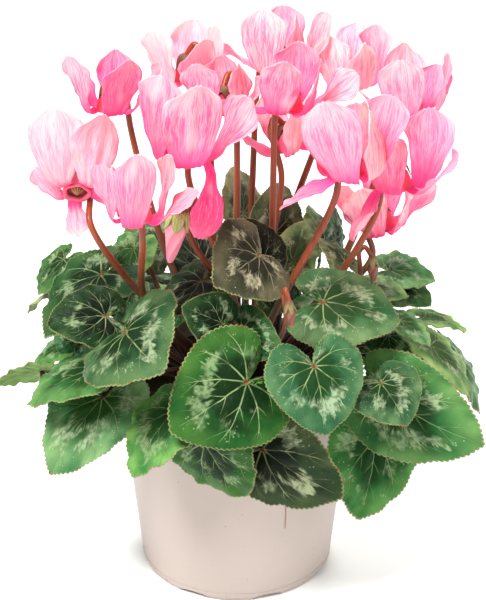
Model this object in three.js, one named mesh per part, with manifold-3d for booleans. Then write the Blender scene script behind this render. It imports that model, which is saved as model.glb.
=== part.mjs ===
// Potted cyclamen: a 12 cm plastic nursery pot of soil, a tuber with its leaf stems and
// flower stems, marbled heart-shaped leaves laid over each other, and nodding pink blooms.
// Millimetres, +Z up. The origin is the middle of the pot's foot ring on the surface that
// it stands on, +X is to the right of the plant's best side and -Y is towards its viewer.
import * as THREE from "three";
import { mergeVertices } from "three/addons/utils/BufferGeometryUtils.js";
import Module from "manifold-3d";

const wasm = await Module();
wasm.setup();

// Driving dimensions of the pot
const POT_HEIGHT = 105;
const POT_BASE_RADIUS = 48;
const POT_FLARE = 0.1; // growth of the radius for each millimetre of height
const POT_WALL = 1.6;
const POT_FLOOR_UNDER = 3.2; // height of the floor's underside, above the arches between the feet
const POT_CORNER = 4; // rounding between the wall and the foot ring
const LIP_RADIUS = 60;
const LIP_HEIGHT = 9;
const FOOT_COUNT = 8;
const FOOT_TURN = -94; // degrees, the middle of the foot that faces the viewer
const FOOT_RING_WIDTH = 5;
const ARCH_WIDTH = 17;
const ARCH_HEIGHT = 2.6;
const DRAIN_HOLES = 6;
const DRAIN_RADIUS = 4;
const DRAIN_RING = 30;
const POT_SIDES = 36;

// Driving dimensions of what the pot holds
const CLEARANCE = 0.35; // gap between pieces that touch
const SOIL_TOP = 97;
const SOIL_SIDES = 20;
const TUBER_RADIUS = 24;
const TUBER_BOTTOM = 80;
const TUBER_TOP = 103;
const TUBER_WIDEST = 92; // height of the tuber's widest ring
const TUBER_SIDES = 14;
const CROWN_RADIUS = 18; // the stems leave the tuber inside this circle

// Driving dimensions of the leaves
const BLADE_THICKNESS = 0.9;
const DOME_CENTRE = new THREE.Vector3(0, 0, 112); // the blades face away from this point
const PETIOLE_RADIUS = 1.35;
const PETIOLE_GAP = 0.5; // between a petiole's end and its blade
const PETIOLE_END = 7; // length over which a petiole meets its blade square on
const PETIOLE_DEPTH = 7; // how deep its root sits under the tuber's top
const PETIOLE_SEAT = 0.03; // how far behind the notch it meets the blade, in blade lengths
const PETIOLE_BOW = 8; // usual lift of its middle
const BLADE_CENTRE = 0.25; // middle of the blade's rings, in lengths from notch to tip
const TOOTH = 0.022; // depth of the teeth, in lengths from notch to tip
const ARCH = 0.07; // usual height of the arch along a blade
const CROWN = -0.12; // usual bend across it, below zero where its sides hang
const CREASE = 0.06; // usual rise of its two halves from the midrib
const WAVE = 0.03; // usual height of the waves at its margin
const WAVES = 4; // round the margin
const LARGE_BLADE = 40; // a longer blade has more teeth

// Half of a blade's outline, in lengths from the notch at (0, 0) to the tip at (1, 0)
const HALF_OUTLINE = [
  [0, 0],
  [-0.13, 0.05],
  [-0.28, 0.16],
  [-0.35, 0.31],
  [-0.27, 0.47],
  [-0.11, 0.58],
  [0.09, 0.63],
  [0.3, 0.6],
  [0.52, 0.5],
  [0.72, 0.36],
  [0.89, 0.19],
  [1, 0],
].map(([u, v]) => new THREE.Vector2(u, v));

// Driving dimensions of the blooms
const TUBE_HEIGHT = 9;
const TUBE_RADIUS = 6.6; // outside, at the mouth
const TUBE_TOP_RADIUS = 3.4;
const TUBE_WALL = 1.2;
const PETAL_LENGTH = 41;
const PETAL_THICKNESS = 0.8;
const PETAL_TURN = 0.26; // share of a petal's length in which it turns up from the mouth
const PETAL_DIP = -35; // degrees, the slope with which a petal leaves the mouth
const STEM_GAP_OPENING = 11; // degrees, how far the two petals beside the stem stand aside
const PETAL_ROOT = 0.7; // how deep a petal's root sits in the tube's edge
const PETAL_CUP = 0.12; // how far a petal's edges rise, in its widths
const PETAL_TIP_ROUND = 2.5; // how far the corners of its tip fall back
const PETAL_TWIST = [25, 45]; // degrees, from its root to its tip
const PETAL_CURL = [-30, 20]; // degrees, back or forth over its length
const FIRST_PETAL = -126; // degrees, the usual place of the first petal round the mouth
const CALYX_RADIUS = 5.2;
const CALYX_HEIGHT = 3.2;
const PEDUNCLE_RADIUS = 1.6;
const HOOK_RADIUS = 4.6;
const SEPAL_DEPTH = 0.16; // of the five lobes round a calyx, in its radii
const STEM_ASIDE = 1.5; // how much further out a flower stem stands under its bloom
const STEM_UNDER = 12; // how far under the mouth it starts to straighten
const STEM_DEPTH = 5; // how deep its root sits under the tuber's top
const STEM_BOW = 5; // usual bend of its middle away from the plant

// Width of a petal in millimetres at shares of its length
const PETAL_WIDTHS = [
  [0, 7],
  [0.24, 15],
  [0.68, 26],
  [1, 12],
];

// Each leaf: its notch and its tip in millimetres, its roll about the line between them in
// degrees, and where they differ from the usual its width, arch and crown, the bow of its
// petiole, how far that sways to the left, and its lift over the rim.
const LEAVES = [
  // hanging over the front of the pot
  { notch: [6, -83, 147], tip: [-30, -94, 126], roll: 0, wide: 1.05, arch: 0.1 },
  { notch: [-15, -75, 110], tip: [5, -80, 82], roll: 25, wide: 1.3, lift: 6 },
  { notch: [11, -76, 107], tip: [50, -86, 86], roll: 10, wide: 0.95, lift: 8, sway: 12 },
  { notch: [67, -44, 94], tip: [59, -62, 57], roll: 42, wide: 0.95, lift: 8 },
  { notch: [-28, -68, 123], tip: [-48, -86, 97], roll: 40, lift: 5 },
  { notch: [-63, -38, 113], tip: [-89, -56, 79], roll: -25, wide: 0.8, lift: 6, sway: 10 },
  // facing the viewer
  { notch: [-51, -64, 162], tip: [-33, -97, 159], roll: -15, wide: 1.2 },
  { notch: [35, -84, 156], tip: [41, -97, 126], roll: 0, wide: 1.15 },
  { notch: [70, -58, 122], tip: [116, -70, 104], roll: 30, wide: 0.8 },
  { notch: [66, -72, 140], tip: [78, -88, 126], roll: 20, wide: 1.2 },
  { notch: [39, -50, 170], tip: [76, -54, 161], roll: -10, wide: 1.0, crown: -0.35 },
  { notch: [11, -50, 194], tip: [-9, -74, 190], roll: -20, wide: 1.1 },
  { notch: [13, -30, 180], tip: [5, -20, 198], roll: 0 },
  { notch: [-15, -42, 177], tip: [-38, -48, 160], roll: 30, wide: 1.2 },
  { notch: [-6, -68, 168], tip: [-24, -72, 179], roll: 0 },
  { notch: [2, -60, 160], tip: [21, -73, 156], roll: 20, wide: 0.9 },
  // left side
  { notch: [-64, -6, 162], tip: [-92, -24, 136], roll: -25, wide: 0.85 },
  { notch: [-60, -40, 157], tip: [-88, -46, 156], roll: 0 },
  { notch: [-66, -36, 127], tip: [-100, -44, 111], roll: 30 },
  { notch: [-96, 5, 102], tip: [-121, 1, 95], roll: 0, wide: 0.75, bow: 16 },
  { notch: [-86, 11, 114], tip: [-102, 15, 100], roll: 0 },
  { notch: [-84, 32, 138], tip: [-106, 36, 118], roll: 0, bow: 8, sway: 6 },
  { notch: [-50, 14, 166], tip: [-54, 2, 148], roll: -40, sway: 9 },
  { notch: [-36, 28, 158], tip: [-54, 50, 162], roll: 0, sway: -16 },
  // right side and top
  { notch: [4, 40, 171], tip: [-1, 62, 188], roll: 0, wide: 0.75 },
  { notch: [44, 25, 161], tip: [38, 50, 171], roll: 0, sway: 3 },
  { notch: [52, -13, 172], tip: [40, 2, 177], roll: 0 },
  { notch: [74, 14, 154], tip: [98, 12, 149], roll: 30, sway: -15 },
  { notch: [62, -10, 156], tip: [83, -12, 153], roll: 0 },
  { notch: [93, 12, 129], tip: [115, 14, 120], roll: 0, wide: 0.7, sway: -6 },
  { notch: [77, -30, 150], tip: [92, -38, 140], roll: 0 },
  { notch: [107, 8, 111], tip: [121, -6, 83], roll: 20, wide: 1.1, bow: 14 },
  { notch: [93, -18, 130], tip: [116, -24, 101], roll: 0, wide: 0.8 },
  // upright between the flower stems
  { notch: [19, 12, 174], tip: [22, 34, 192], roll: 0, wide: 0.8 },
  { notch: [27, -2, 165], tip: [33, 18, 178], roll: 0, wide: 0.75 },
  { notch: [-16, 8, 160], tip: [-22, 30, 176], roll: 0, wide: 0.9 },
];

// Each bloom: the middle of its mouth in millimetres, the compass side that its tube leans
// to and how far, and its petals in their order round the mouth. A petal holds the compass
// side that it points to, its rise above the level, its length and, where it is slim, its
// share of the usual width. Angles are in degrees, with 0 at +X and 90 at +Y. Where they
// differ from the usual, a bloom also holds the place of its first petal round the mouth and
// the bow and sway of its stem.
const BLOOMS = [
  {
    mouth: [-72, -38, 219],
    lean: [90, 60],
    petals: [[110, 72, 40], [58, 70, 38], [5, -12, 29], [-80, -50, 18], [150, 50, 20]],
  },
  {
    mouth: [-43, -74, 223],
    lean: [90, 10],
    first: -99,
    sway: -19,
    petals: [[0, 86, 44, 0.65], [10, 45, 28, 0.8], [-10, 82, 36, 0.7], [170, 78, 28], [150, 82, 32]],
  },
  {
    mouth: [-59, 6, 242],
    lean: [90, 5],
    first: -153,
    sway: 3,
    petals: [[170, 76, 34], [20, 78, 34], [10, 59, 32], [90, 69, 30], [150, 58, 30]],
  },
  {
    mouth: [-24, 40, 243],
    lean: [90, 5],
    petals: [[175, 69, 34], [-80, 76, 32], [0, 79, 32], [70, 71, 32], [130, 69, 32]],
  },
  {
    mouth: [-21, -53, 242],
    lean: [90, 10],
    first: -90,
    sway: 15,
    petals: [[50, 80, 46], [-100, -66, 37, 0.85], [5, 56, 40], [110, 73, 38], [100, 80, 47]],
  },
  {
    mouth: [-6, 11, 238],
    lean: [90, 10],
    petals: [[170, 77, 32], [60, 75, 30], [0, 59, 24], [90, 69, 30], [150, 59, 26]],
  },
  {
    mouth: [20, 47, 245],
    lean: [90, 10],
    petals: [[120, 78, 38], [60, 74, 36], [10, 64, 38], [80, 73, 36], [170, 35, 30]],
  },
  {
    mouth: [24, -18, 252],
    lean: [90, 5],
    petals: [[0, 80, 32], [20, 67, 32], [5, 35, 32], [70, 71, 34], [175, 14, 38]],
  },
  {
    mouth: [55, 50, 236],
    lean: [90, 8],
    first: -135,
    sway: 5,
    petals: [[150, 80, 32], [-60, 80, 30], [60, 77, 36], [70, 69, 34], [160, 49, 28]],
  },
  {
    mouth: [82, 14, 236],
    lean: [90, 10],
    first: -99,
    sway: -12,
    petals: [[150, 78, 34], [20, 74, 38], [40, 64, 28], [80, 71, 38], [150, 30, 28]],
  },
  {
    mouth: [50, -60, 238],
    lean: [90, 10],
    sway: -15,
    first: -150,
    petals: [[-160, -20, 30], [150, 68, 45], [100, 81, 42], [60, 72, 42], [80, 69, 36], [140, 59, 32]],
  },
  {
    mouth: [74, -30, 218],
    lean: [90, 10],
    first: -108,
    sway: -9,
    petals: [[170, 76, 36], [-30, 49, 36], [50, 71, 44], [110, 59, 30], [-110, -30, 32]],
  },
  {
    mouth: [26, 21, 216],
    lean: [180, 15],
    first: -171,
    bow: -4,
    sway: -3,
    petals: [[175, 30, 32], [80, 72, 30], [20, 49, 28], [90, 69, 30], [150, 69, 30]],
  },
  {
    mouth: [71, 6, 181],
    lean: [180, 20],
    bow: 0,
    petals: [[170, 71, 32], [-60, 69, 28], [20, 54, 28], [90, 64, 32], [150, 49, 30]],
  },
];

// Each bud: the top that its calyx covers, in millimetres, the way that it points, its length
// and radius, the radii of its stem and of the stem's hook, and the stem's bow and sway.
const BUDS = [
  {
    top: [-25, -50, 216],
    points: [-0.2, -0.1, -1],
    length: 26,
    radius: 4.8,
    stem: 1.5,
    hook: 4.2,
    bow: 0,
    sway: 19,
  },
  { top: [64, -22, 176], points: [0.1, -0.1, -1], length: 11, radius: 2.6, stem: 1.2, hook: 3.2 },
  { top: [24, -78, 182], points: [0.1, 0, -1], length: 11, radius: 2.4, stem: 1.2, hook: 3 },
];

const radians = THREE.MathUtils.degToRad;
const UP = new THREE.Vector3(0, 0, 1);
const RIGHT = new THREE.Vector3(1, 0, 0);
const vector = (list) => new THREE.Vector3(...list);

// A random number generator with a fixed seed
function seeded(seed) {
  let state = seed * 7919 + 17;
  return () => {
    state = (state * 16807) % 2147483647;
    return state / 2147483647;
  };
}

// The leaves of the far side hang over the rim in two layers, each a little different.
const BACK_LEAVES = 4;
const BACK_SPREAD = [38, 149]; // degrees, the sides that the first and the last leaf face
function backLeaves() {
  const random = seeded(5);
  const between = (low, high) => low + (high - low) * random();
  const ring = (radius, side, height) => [
    radius * Math.cos(radians(side)),
    radius * Math.sin(radians(side)),
    height,
  ];
  const leaves = [];
  for (let i = 0; i < BACK_LEAVES; i++) {
    const share = i / (BACK_LEAVES - 1);
    const side = BACK_SPREAD[0] + (BACK_SPREAD[1] - BACK_SPREAD[0]) * share;
    const height = i % 2 ? between(139, 143) : between(119, 123);
    const notch = ring(between(52, 57), side, height);
    const tip = ring(between(103, 107), side + between(-6, 6), height - between(20, 28));
    leaves.push({ notch, tip, roll: between(12, 18), wide: between(0.61, 0.69), bow: 12, sway: -6 });
  }
  return leaves;
}

const material = (color, roughness) => new THREE.MeshStandardMaterial({ color, roughness, metalness: 0 });
const POT_PLASTIC = material("#d5c5bc", 0.5);
const SOIL_PEAT = material("#3a2c22", 0.95);
const STEM_SKIN = material("#6e3428", 0.5);
const LEAF_GREEN = material("#2f5b33", 0.45);
const PETAL_PINK = material("#f79ac0", 0.6);
const BUD_PINK = material("#e0708f", 0.6);

// A closed geometry as a solid
function solidOf(geometry) {
  const bare = geometry.clone();
  bare.deleteAttribute("normal");
  bare.deleteAttribute("uv");
  const merged = mergeVertices(bare, 1e-3);
  return new wasm.Manifold(
    new wasm.Mesh({
      numProp: 3,
      vertProperties: merged.attributes.position.array,
      triVerts: new Uint32Array(merged.index.array),
    }),
  );
}

// A solid as a geometry
function geometryOf(solid) {
  const mesh = solid.getMesh();
  const geometry = new THREE.BufferGeometry();
  geometry.setAttribute("position", new THREE.BufferAttribute(mesh.vertProperties, 3));
  geometry.setIndex(new THREE.BufferAttribute(mesh.triVerts, 1));
  geometry.computeVertexNormals();
  return geometry;
}

const joined = (solids) => solids.reduce((all, next) => all.add(next));

// A closed shell between two faces that are split into the same triangles. The rim lists the
// outer points in order, and top and bottom hold a point each for every number.
function sheetSolid(top, bottom, triangles, rim) {
  const count = top.length;
  const index = [];
  for (const [a, b, c] of triangles) {
    index.push(a, b, c, c + count, b + count, a + count);
  }
  rim.forEach((a, i) => {
    const b = rim[(i + 1) % rim.length];
    index.push(b, a, a + count, b, a + count, b + count);
  });
  const geometry = new THREE.BufferGeometry().setFromPoints([...top, ...bottom]);
  geometry.setIndex(index);
  return solidOf(geometry);
}

// A lathe about +Z from a list of [radius, height]
function turned(profile, sides) {
  const outline = profile.map(([r, z]) => new THREE.Vector2(r, z));
  return new THREE.LatheGeometry(outline, sides).rotateX(Math.PI / 2);
}

const wallRadius = (z) => POT_BASE_RADIUS + POT_FLARE * z;

// The pot is one moulding: a tapered wall with a lip, a floor with drain holes, and a foot
// ring that is cut by low arches.
function potSolid() {
  const lipUnder = POT_HEIGHT - LIP_HEIGHT;
  const footInside = POT_BASE_RADIUS - FOOT_RING_WIDTH;
  const floorTop = POT_FLOOR_UNDER + POT_WALL;
  const profile = [
    [0, floorTop],
    [0, POT_FLOOR_UNDER],
    [footInside, POT_FLOOR_UNDER],
    [footInside, 0],
    [POT_BASE_RADIUS - 1, 0],
    [wallRadius(POT_CORNER), POT_CORNER],
    [wallRadius(lipUnder), lipUnder],
    [LIP_RADIUS, lipUnder + 1],
    [LIP_RADIUS, POT_HEIGHT],
    [wallRadius(POT_HEIGHT) - POT_WALL, POT_HEIGHT],
    [wallRadius(floorTop) - POT_WALL, floorTop],
    [0, floorTop],
  ];
  let pot = solidOf(turned(profile, POT_SIDES));
  for (let i = 0; i < FOOT_COUNT; i++) {
    const angle = radians(FOOT_TURN + ((i + 0.5) * 360) / FOOT_COUNT);
    const arch = new THREE.CylinderGeometry(1, 1, 4 * FOOT_RING_WIDTH, 8)
      .rotateZ(Math.PI / 2)
      .rotateX(Math.PI / 8)
      .scale(1, ARCH_WIDTH / 2, ARCH_HEIGHT)
      .translate(POT_BASE_RADIUS - FOOT_RING_WIDTH / 2, 0, 0)
      .rotateZ(angle);
    pot = pot.subtract(solidOf(arch));
  }
  for (let i = 0; i < DRAIN_HOLES; i++) {
    const angle = (i * 2 * Math.PI) / DRAIN_HOLES;
    const hole = new THREE.CylinderGeometry(DRAIN_RADIUS, DRAIN_RADIUS, 4 * POT_WALL, 8)
      .rotateX(Math.PI / 2)
      .translate(DRAIN_RING * Math.cos(angle), DRAIN_RING * Math.sin(angle), POT_FLOOR_UNDER);
    pot = pot.subtract(solidOf(hole));
  }
  return pot;
}

// The soil fills the pot and has a plain hollow for the tuber.
function soilSolid() {
  const bottom = POT_FLOOR_UNDER + POT_WALL + CLEARANCE;
  const side = POT_WALL + 1.3 * CLEARANCE;
  const hollow = TUBER_RADIUS + CLEARANCE;
  const profile = [
    [0, bottom],
    [wallRadius(bottom) - side, bottom],
    [wallRadius(SOIL_TOP) - side, SOIL_TOP],
    [0.6 * wallRadius(SOIL_TOP), SOIL_TOP + 2.5],
    [hollow + 1, SOIL_TOP + 1],
    [hollow + 0.3, TUBER_WIDEST],
    [0.72 * hollow, TUBER_BOTTOM + 1.5],
    [0.4 * hollow, TUBER_BOTTOM - CLEARANCE - 0.3],
    [0, TUBER_BOTTOM - CLEARANCE - 0.3],
  ];
  return solidOf(turned(profile, SOIL_SIDES));
}

function tuberSolid() {
  const profile = [
    [0, TUBER_BOTTOM],
    [0.38 * TUBER_RADIUS, TUBER_BOTTOM + 0.2],
    [0.68 * TUBER_RADIUS, TUBER_BOTTOM + 2.6],
    [0.98 * TUBER_RADIUS, TUBER_WIDEST],
    [0.93 * TUBER_RADIUS, TUBER_WIDEST + 5],
    [0.6 * TUBER_RADIUS, TUBER_TOP - 1],
    [0, TUBER_TOP],
  ];
  return solidOf(turned(profile, TUBER_SIDES));
}

// A curve whose steps follow its points and not its length, so that a tight hook gets as
// many steps as a long shaft.
class StemCurve extends THREE.CatmullRomCurve3 {
  getUtoTmapping(share) {
    return share;
  }
}

function stemSolid(points, radius, sides, steps) {
  const section = new THREE.Shape();
  section.absarc(0, 0, radius, 0, 2 * Math.PI);
  const ring = new THREE.Shape(section.getPoints(sides).slice(0, sides));
  const path = new StemCurve(points, false, "centripetal");
  return solidOf(new THREE.ExtrudeGeometry(ring, { extrudePath: path, steps, bevelEnabled: false }));
}

// The plan of a blade on its own plane: a toothed rim, a ring inside it and a centre, with
// the triangles between them. The rim holds an even number of steps from notch to tip.
function bladePlan(steps) {
  const half = new THREE.SplineCurve(HALF_OUTLINE).getSpacedPoints(steps);
  const right = half.map((p) => new THREE.Vector2(p.x, -p.y));
  const left = half.slice(1, -1).reverse();
  const centre = new THREE.Vector2(BLADE_CENTRE, 0);
  const rim = [...right, ...left].map((p, i) => (i % 2 ? p.lerp(centre, TOOTH * 2) : p));
  const ring = rim.filter((p, i) => i % 2 === 0).map((p) => p.clone().lerp(centre, 0.5));
  const count = rim.length;
  const triangles = [];
  for (let j = 0; j < steps; j++) {
    const outer = [2 * j, 2 * j + 1, (2 * j + 2) % count];
    const inner = count + j;
    const next = count + ((j + 1) % steps);
    triangles.push([outer[0], outer[1], inner]);
    triangles.push([outer[1], next, inner]);
    triangles.push([outer[1], outer[2], next]);
    triangles.push([inner, next, count + steps]);
  }
  return { points: [...rim, ...ring, centre], triangles, rim: rim.map((p, i) => i) };
}

// Height of a blade over the plane of its notch, its tip and its width, all in lengths from
// notch to tip: an arch along it, a cup or crown across it, a crease, and a wavy margin.
function bladeHeight(u, v, leaf) {
  const out = Math.hypot(u - BLADE_CENTRE, v);
  const around = Math.atan2(v, u - BLADE_CENTRE);
  const arch = (leaf.arch ?? ARCH) * 4 * u * (1 - u);
  const crown = (leaf.crown ?? CROWN) * v * v;
  const crease = CREASE * Math.abs(v);
  const wave = WAVE * Math.sin(WAVES * around + leaf.phase) * out * out;
  return arch + crown + crease + wave;
}

// The axes of a leaf at its notch: along it to the tip, across it, and out of its upper face
function leafFrame(leaf) {
  const notch = vector(leaf.notch);
  const tip = vector(leaf.tip);
  const along = tip.clone().sub(notch);
  const length = along.length();
  along.normalize();
  const out = notch.clone().lerp(tip, 0.4).sub(DOME_CENTRE);
  out.addScaledVector(along, -out.dot(along)).normalize();
  out.applyAxisAngle(along, radians(leaf.roll ?? 0));
  const across = out.clone().cross(along);
  return { notch, along, across, out, length };
}

function leafMesh(leaf) {
  const { notch, along, across, out, length } = leafFrame(leaf);
  const plan = bladePlan(length > LARGE_BLADE ? 12 : 10);
  const wide = leaf.wide ?? 1;
  const top = plan.points.map(({ x, y }) => {
    const v = y * wide;
    return new THREE.Vector3(x, v, bladeHeight(x, v, leaf)).multiplyScalar(length);
  });
  const bottom = top.map((p) => new THREE.Vector3(p.x, p.y, p.z - BLADE_THICKNESS));
  const mesh = new THREE.Mesh(geometryOf(sheetSolid(top, bottom, plan.triangles, plan.rim)), LEAF_GREEN);
  mesh.position.copy(notch);
  mesh.setRotationFromMatrix(new THREE.Matrix4().makeBasis(along, across, out));
  return mesh;
}

// A petiole rises out of the crown, leans out and meets its blade square on, just behind
// the notch. That of a hanging leaf is lifted over the rim of the pot.
function petioleSolid(leaf, i) {
  const { notch, along, out, length } = leafFrame(leaf);
  const under = bladeHeight(PETIOLE_SEAT, 0, leaf) * length - BLADE_THICKNESS - PETIOLE_GAP;
  const end = notch.clone().addScaledVector(along, PETIOLE_SEAT * length);
  end.addScaledVector(out, under);
  const before = end.clone().addScaledVector(out, -PETIOLE_END);
  before.z += leaf.lift ?? 0;
  const side = new THREE.Vector3(notch.x, notch.y, 0).normalize();
  const reach = CROWN_RADIUS * (i % 2 ? 0.72 : 1);
  const root = side.clone().multiplyScalar(reach).setZ(TUBER_TOP - PETIOLE_DEPTH);
  const rise = root.clone().lerp(before, 0.45);
  rise.z += (leaf.bow ?? PETIOLE_BOW) + 1.5 * (leaf.lift ?? 0);
  rise.addScaledVector(new THREE.Vector3(-side.y, side.x, 0), leaf.sway ?? 0);
  return stemSolid([root, rise, before, end], PETIOLE_RADIUS, 4, 4);
}

// The turn that brings +Z to a bloom's axis, from its mouth to its calyx
function bloomTurn(bloom) {
  const [side, lean] = bloom.lean.map(radians);
  const axis = new THREE.Vector3(
    Math.sin(lean) * Math.cos(side),
    Math.sin(lean) * Math.sin(side),
    Math.cos(lean),
  );
  return new THREE.Quaternion().setFromUnitVectors(UP, axis);
}

const compass = (side, rise) =>
  new THREE.Vector3(
    Math.cos(radians(rise)) * Math.cos(radians(side)),
    Math.cos(radians(rise)) * Math.sin(radians(side)),
    Math.sin(radians(rise)),
  );

// Where the petals and the stem stand round a bloom's mouth, as angles in the bloom's frame.
// The stem takes the gap that looks down most, and its two neighbours stand aside for it.
function bloomSlots(bloom) {
  const turn = bloomTurn(bloom);
  const back = turn.clone().invert();
  const step = (2 * Math.PI) / bloom.petals.length;
  const first = radians(bloom.first ?? FIRST_PETAL);
  const down = new THREE.Vector3(-bloom.mouth[0], -bloom.mouth[1], TUBER_TOP - bloom.mouth[2]);
  down.applyQuaternion(back);
  const gap = Math.round((angleOf(down) - first) / step - 0.5);
  const stem = first + (gap + 0.5) * step;
  const ends = bloom.petals.map(([side, rise]) => compass(side, rise).applyQuaternion(back));
  const slots = bloom.petals.map((petal, i) => {
    const slot = first + i * step;
    const off = Math.atan2(Math.sin(slot - stem), Math.cos(slot - stem));
    return Math.abs(off) < step ? slot + Math.sign(off) * radians(STEM_GAP_OPENING) : slot;
  });
  return { turn, ends, slots, stem };
}

function angleOf(v) {
  return Math.atan2(v.y, v.x);
}

const smooth = (x) => {
  const t = Math.min(Math.max(x, 0), 1);
  return t * t * (3 - 2 * t);
};

// The middle line of a petal with the frame at each of its rows: it dips away from the mouth
// and turns up, or out, to where it points.
function petalRows(slot, end, length, twist, curl) {
  const radial = new THREE.Vector3(Math.cos(slot), Math.sin(slot), 0);
  const tangent = new THREE.Vector3(-Math.sin(slot), Math.cos(slot), 0);
  const start = radial.clone().multiplyScalar(Math.cos(radians(PETAL_DIP)));
  start.z = Math.sin(radians(PETAL_DIP));
  const swing = new THREE.Quaternion().setFromUnitVectors(start, end);
  const point = radial.clone().multiplyScalar(TUBE_RADIUS - PETAL_ROOT).setZ(PETAL_ROOT);
  const rows = [];
  const steps = 50;
  for (let i = 0; i <= steps; i++) {
    const share = i / steps;
    const part = new THREE.Quaternion().slerp(swing, smooth(share / PETAL_TURN));
    const across = tangent.clone().applyQuaternion(part);
    const bend = radians(curl) * Math.max(0, share - PETAL_TURN);
    const ahead = start.clone().applyQuaternion(part).applyAxisAngle(across, bend);
    across.applyAxisAngle(ahead, radians(twist) * share * share);
    const face = ahead.clone().cross(across);
    rows.push({ point: point.clone(), ahead, across, face });
    point.addScaledVector(ahead, length / steps);
  }
  return rows;
}

function petalSolid(slot, end, length, slim, twist, curl) {
  const rows = petalRows(slot, end, length, twist, curl);
  const top = [];
  const bottom = [];
  const triangles = [];
  const size = length / PETAL_LENGTH;
  PETAL_WIDTHS.forEach(([share, width], row) => {
    const { point, ahead, across, face } = rows[Math.round(share * (rows.length - 1))];
    const wide = row < 1 ? width : width * size * slim;
    for (const side of [-1, 0, 1]) {
      const p = point.clone().addScaledVector(across, (side * wide) / 2);
      p.addScaledVector(face, PETAL_CUP * wide * side * side);
      if (row === PETAL_WIDTHS.length - 1) p.addScaledVector(ahead, -PETAL_TIP_ROUND * side * side);
      top.push(p.clone().addScaledVector(face, PETAL_THICKNESS / 2));
      bottom.push(p.clone().addScaledVector(face, -PETAL_THICKNESS / 2));
    }
    if (row > 0) {
      for (const k of [0, 1]) {
        const a = 3 * (row - 1) + k;
        triangles.push([a, a + 1, a + 3], [a + 1, a + 4, a + 3]);
      }
    }
  });
  const last = 3 * (PETAL_WIDTHS.length - 1);
  const rim = [0, 1, 2];
  for (let row = 1; row < PETAL_WIDTHS.length; row++) rim.push(3 * row + 2);
  rim.push(last + 1, last);
  for (let row = PETAL_WIDTHS.length - 2; row > 0; row--) rim.push(3 * row);
  return sheetSolid(bottom, top, triangles, rim);
}

function tubeSolid() {
  const profile = [
    [0, TUBE_HEIGHT - TUBE_WALL],
    [TUBE_RADIUS - TUBE_WALL, 0],
    [TUBE_RADIUS, 0],
    [TUBE_TOP_RADIUS, TUBE_HEIGHT],
    [0, TUBE_HEIGHT],
  ];
  return solidOf(turned(profile, 8));
}

function bloomMesh(bloom, number) {
  const { turn, ends, slots } = bloomSlots(bloom);
  const random = seeded(number);
  const petals = bloom.petals.map(([, , length, slim = 1], i) => {
    const twist = THREE.MathUtils.lerp(...PETAL_TWIST, random());
    const curl = THREE.MathUtils.lerp(...PETAL_CURL, random());
    return petalSolid(slots[i], ends[i], length, slim, twist, curl);
  });
  const mesh = new THREE.Mesh(geometryOf(joined([tubeSolid(), ...petals])), PETAL_PINK);
  mesh.position.copy(vector(bloom.mouth));
  mesh.quaternion.copy(turn);
  return mesh;
}

// A calyx is a low five-pointed cap.
function calyxSolid(position, turn, radius) {
  const profile = [
    [0, 0],
    [radius, 0],
    [0, CALYX_HEIGHT],
  ];
  const cap = turned(profile, 10);
  const points = cap.attributes.position;
  for (let i = 0; i < points.count; i++) {
    const x = points.getX(i);
    const y = points.getY(i);
    const lobe = 1 + SEPAL_DEPTH * Math.cos(5 * Math.atan2(y, x));
    points.setXY(i, x * lobe, y * lobe);
  }
  cap.applyQuaternion(turn).translate(position.x, position.y, position.z);
  return solidOf(cap);
}

// A flower stem rises from the crown, passes beside the bloom or bud and hooks over into its
// calyx. The place at (r, z) lies r beside the middle of the bloom and z over its mouth.
function hookedStem(place, capTop, hook, radius, flower, number) {
  const below = place(2 * hook + STEM_ASIDE, -STEM_UNDER);
  const random = seeded(100 + number);
  const angle = Math.atan2(below.y, below.x) + 0.5 * (random() - 0.5);
  const reach = CROWN_RADIUS * (0.12 + 0.4 * random());
  const side = new THREE.Vector3(Math.cos(angle), Math.sin(angle), 0);
  const root = side.clone().multiplyScalar(reach).setZ(TUBER_TOP - STEM_DEPTH);
  const middle = root.clone().lerp(below, 0.5).addScaledVector(side, flower.bow ?? STEM_BOW);
  middle.addScaledVector(new THREE.Vector3(-side.y, side.x, 0), flower.sway ?? 0);
  const points = [
    root,
    middle,
    below,
    place(2 * hook, 2),
    place(2 * hook, capTop + 0.5),
    place(hook, capTop + 0.5 + hook),
    place(0, capTop - 1),
  ];
  return stemSolid(points, radius, 5, 8);
}

// A peduncle comes up between two petals beside the mouth.
function peduncleSolids(bloom, number) {
  const { turn, stem } = bloomSlots(bloom);
  const mouth = vector(bloom.mouth);
  const place = (r, z) =>
    new THREE.Vector3(r * Math.cos(stem), r * Math.sin(stem), z).applyQuaternion(turn).add(mouth);
  const capBase = TUBE_HEIGHT + CLEARANCE;
  const capTop = capBase + CALYX_HEIGHT;
  const cap = calyxSolid(place(0, capBase), turn, CALYX_RADIUS);
  return [hookedStem(place, capTop, HOOK_RADIUS, PEDUNCLE_RADIUS, bloom, number), cap];
}

// A bud's turn brings +Z to the way that it points.
function budTurn(bud) {
  return new THREE.Quaternion().setFromUnitVectors(UP, vector(bud.points).normalize());
}

// A bud hangs pointed and closed under its calyx.
function budMesh(bud) {
  const profile = [
    [0, 0],
    [0.6 * bud.radius, 0],
    [bud.radius, 0.35 * bud.length],
    [0.7 * bud.radius, 0.72 * bud.length],
    [0, bud.length],
  ];
  const mesh = new THREE.Mesh(geometryOf(solidOf(turned(profile, 8))), BUD_PINK);
  mesh.position.copy(vector(bud.top));
  mesh.quaternion.copy(budTurn(bud));
  return mesh;
}

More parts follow.
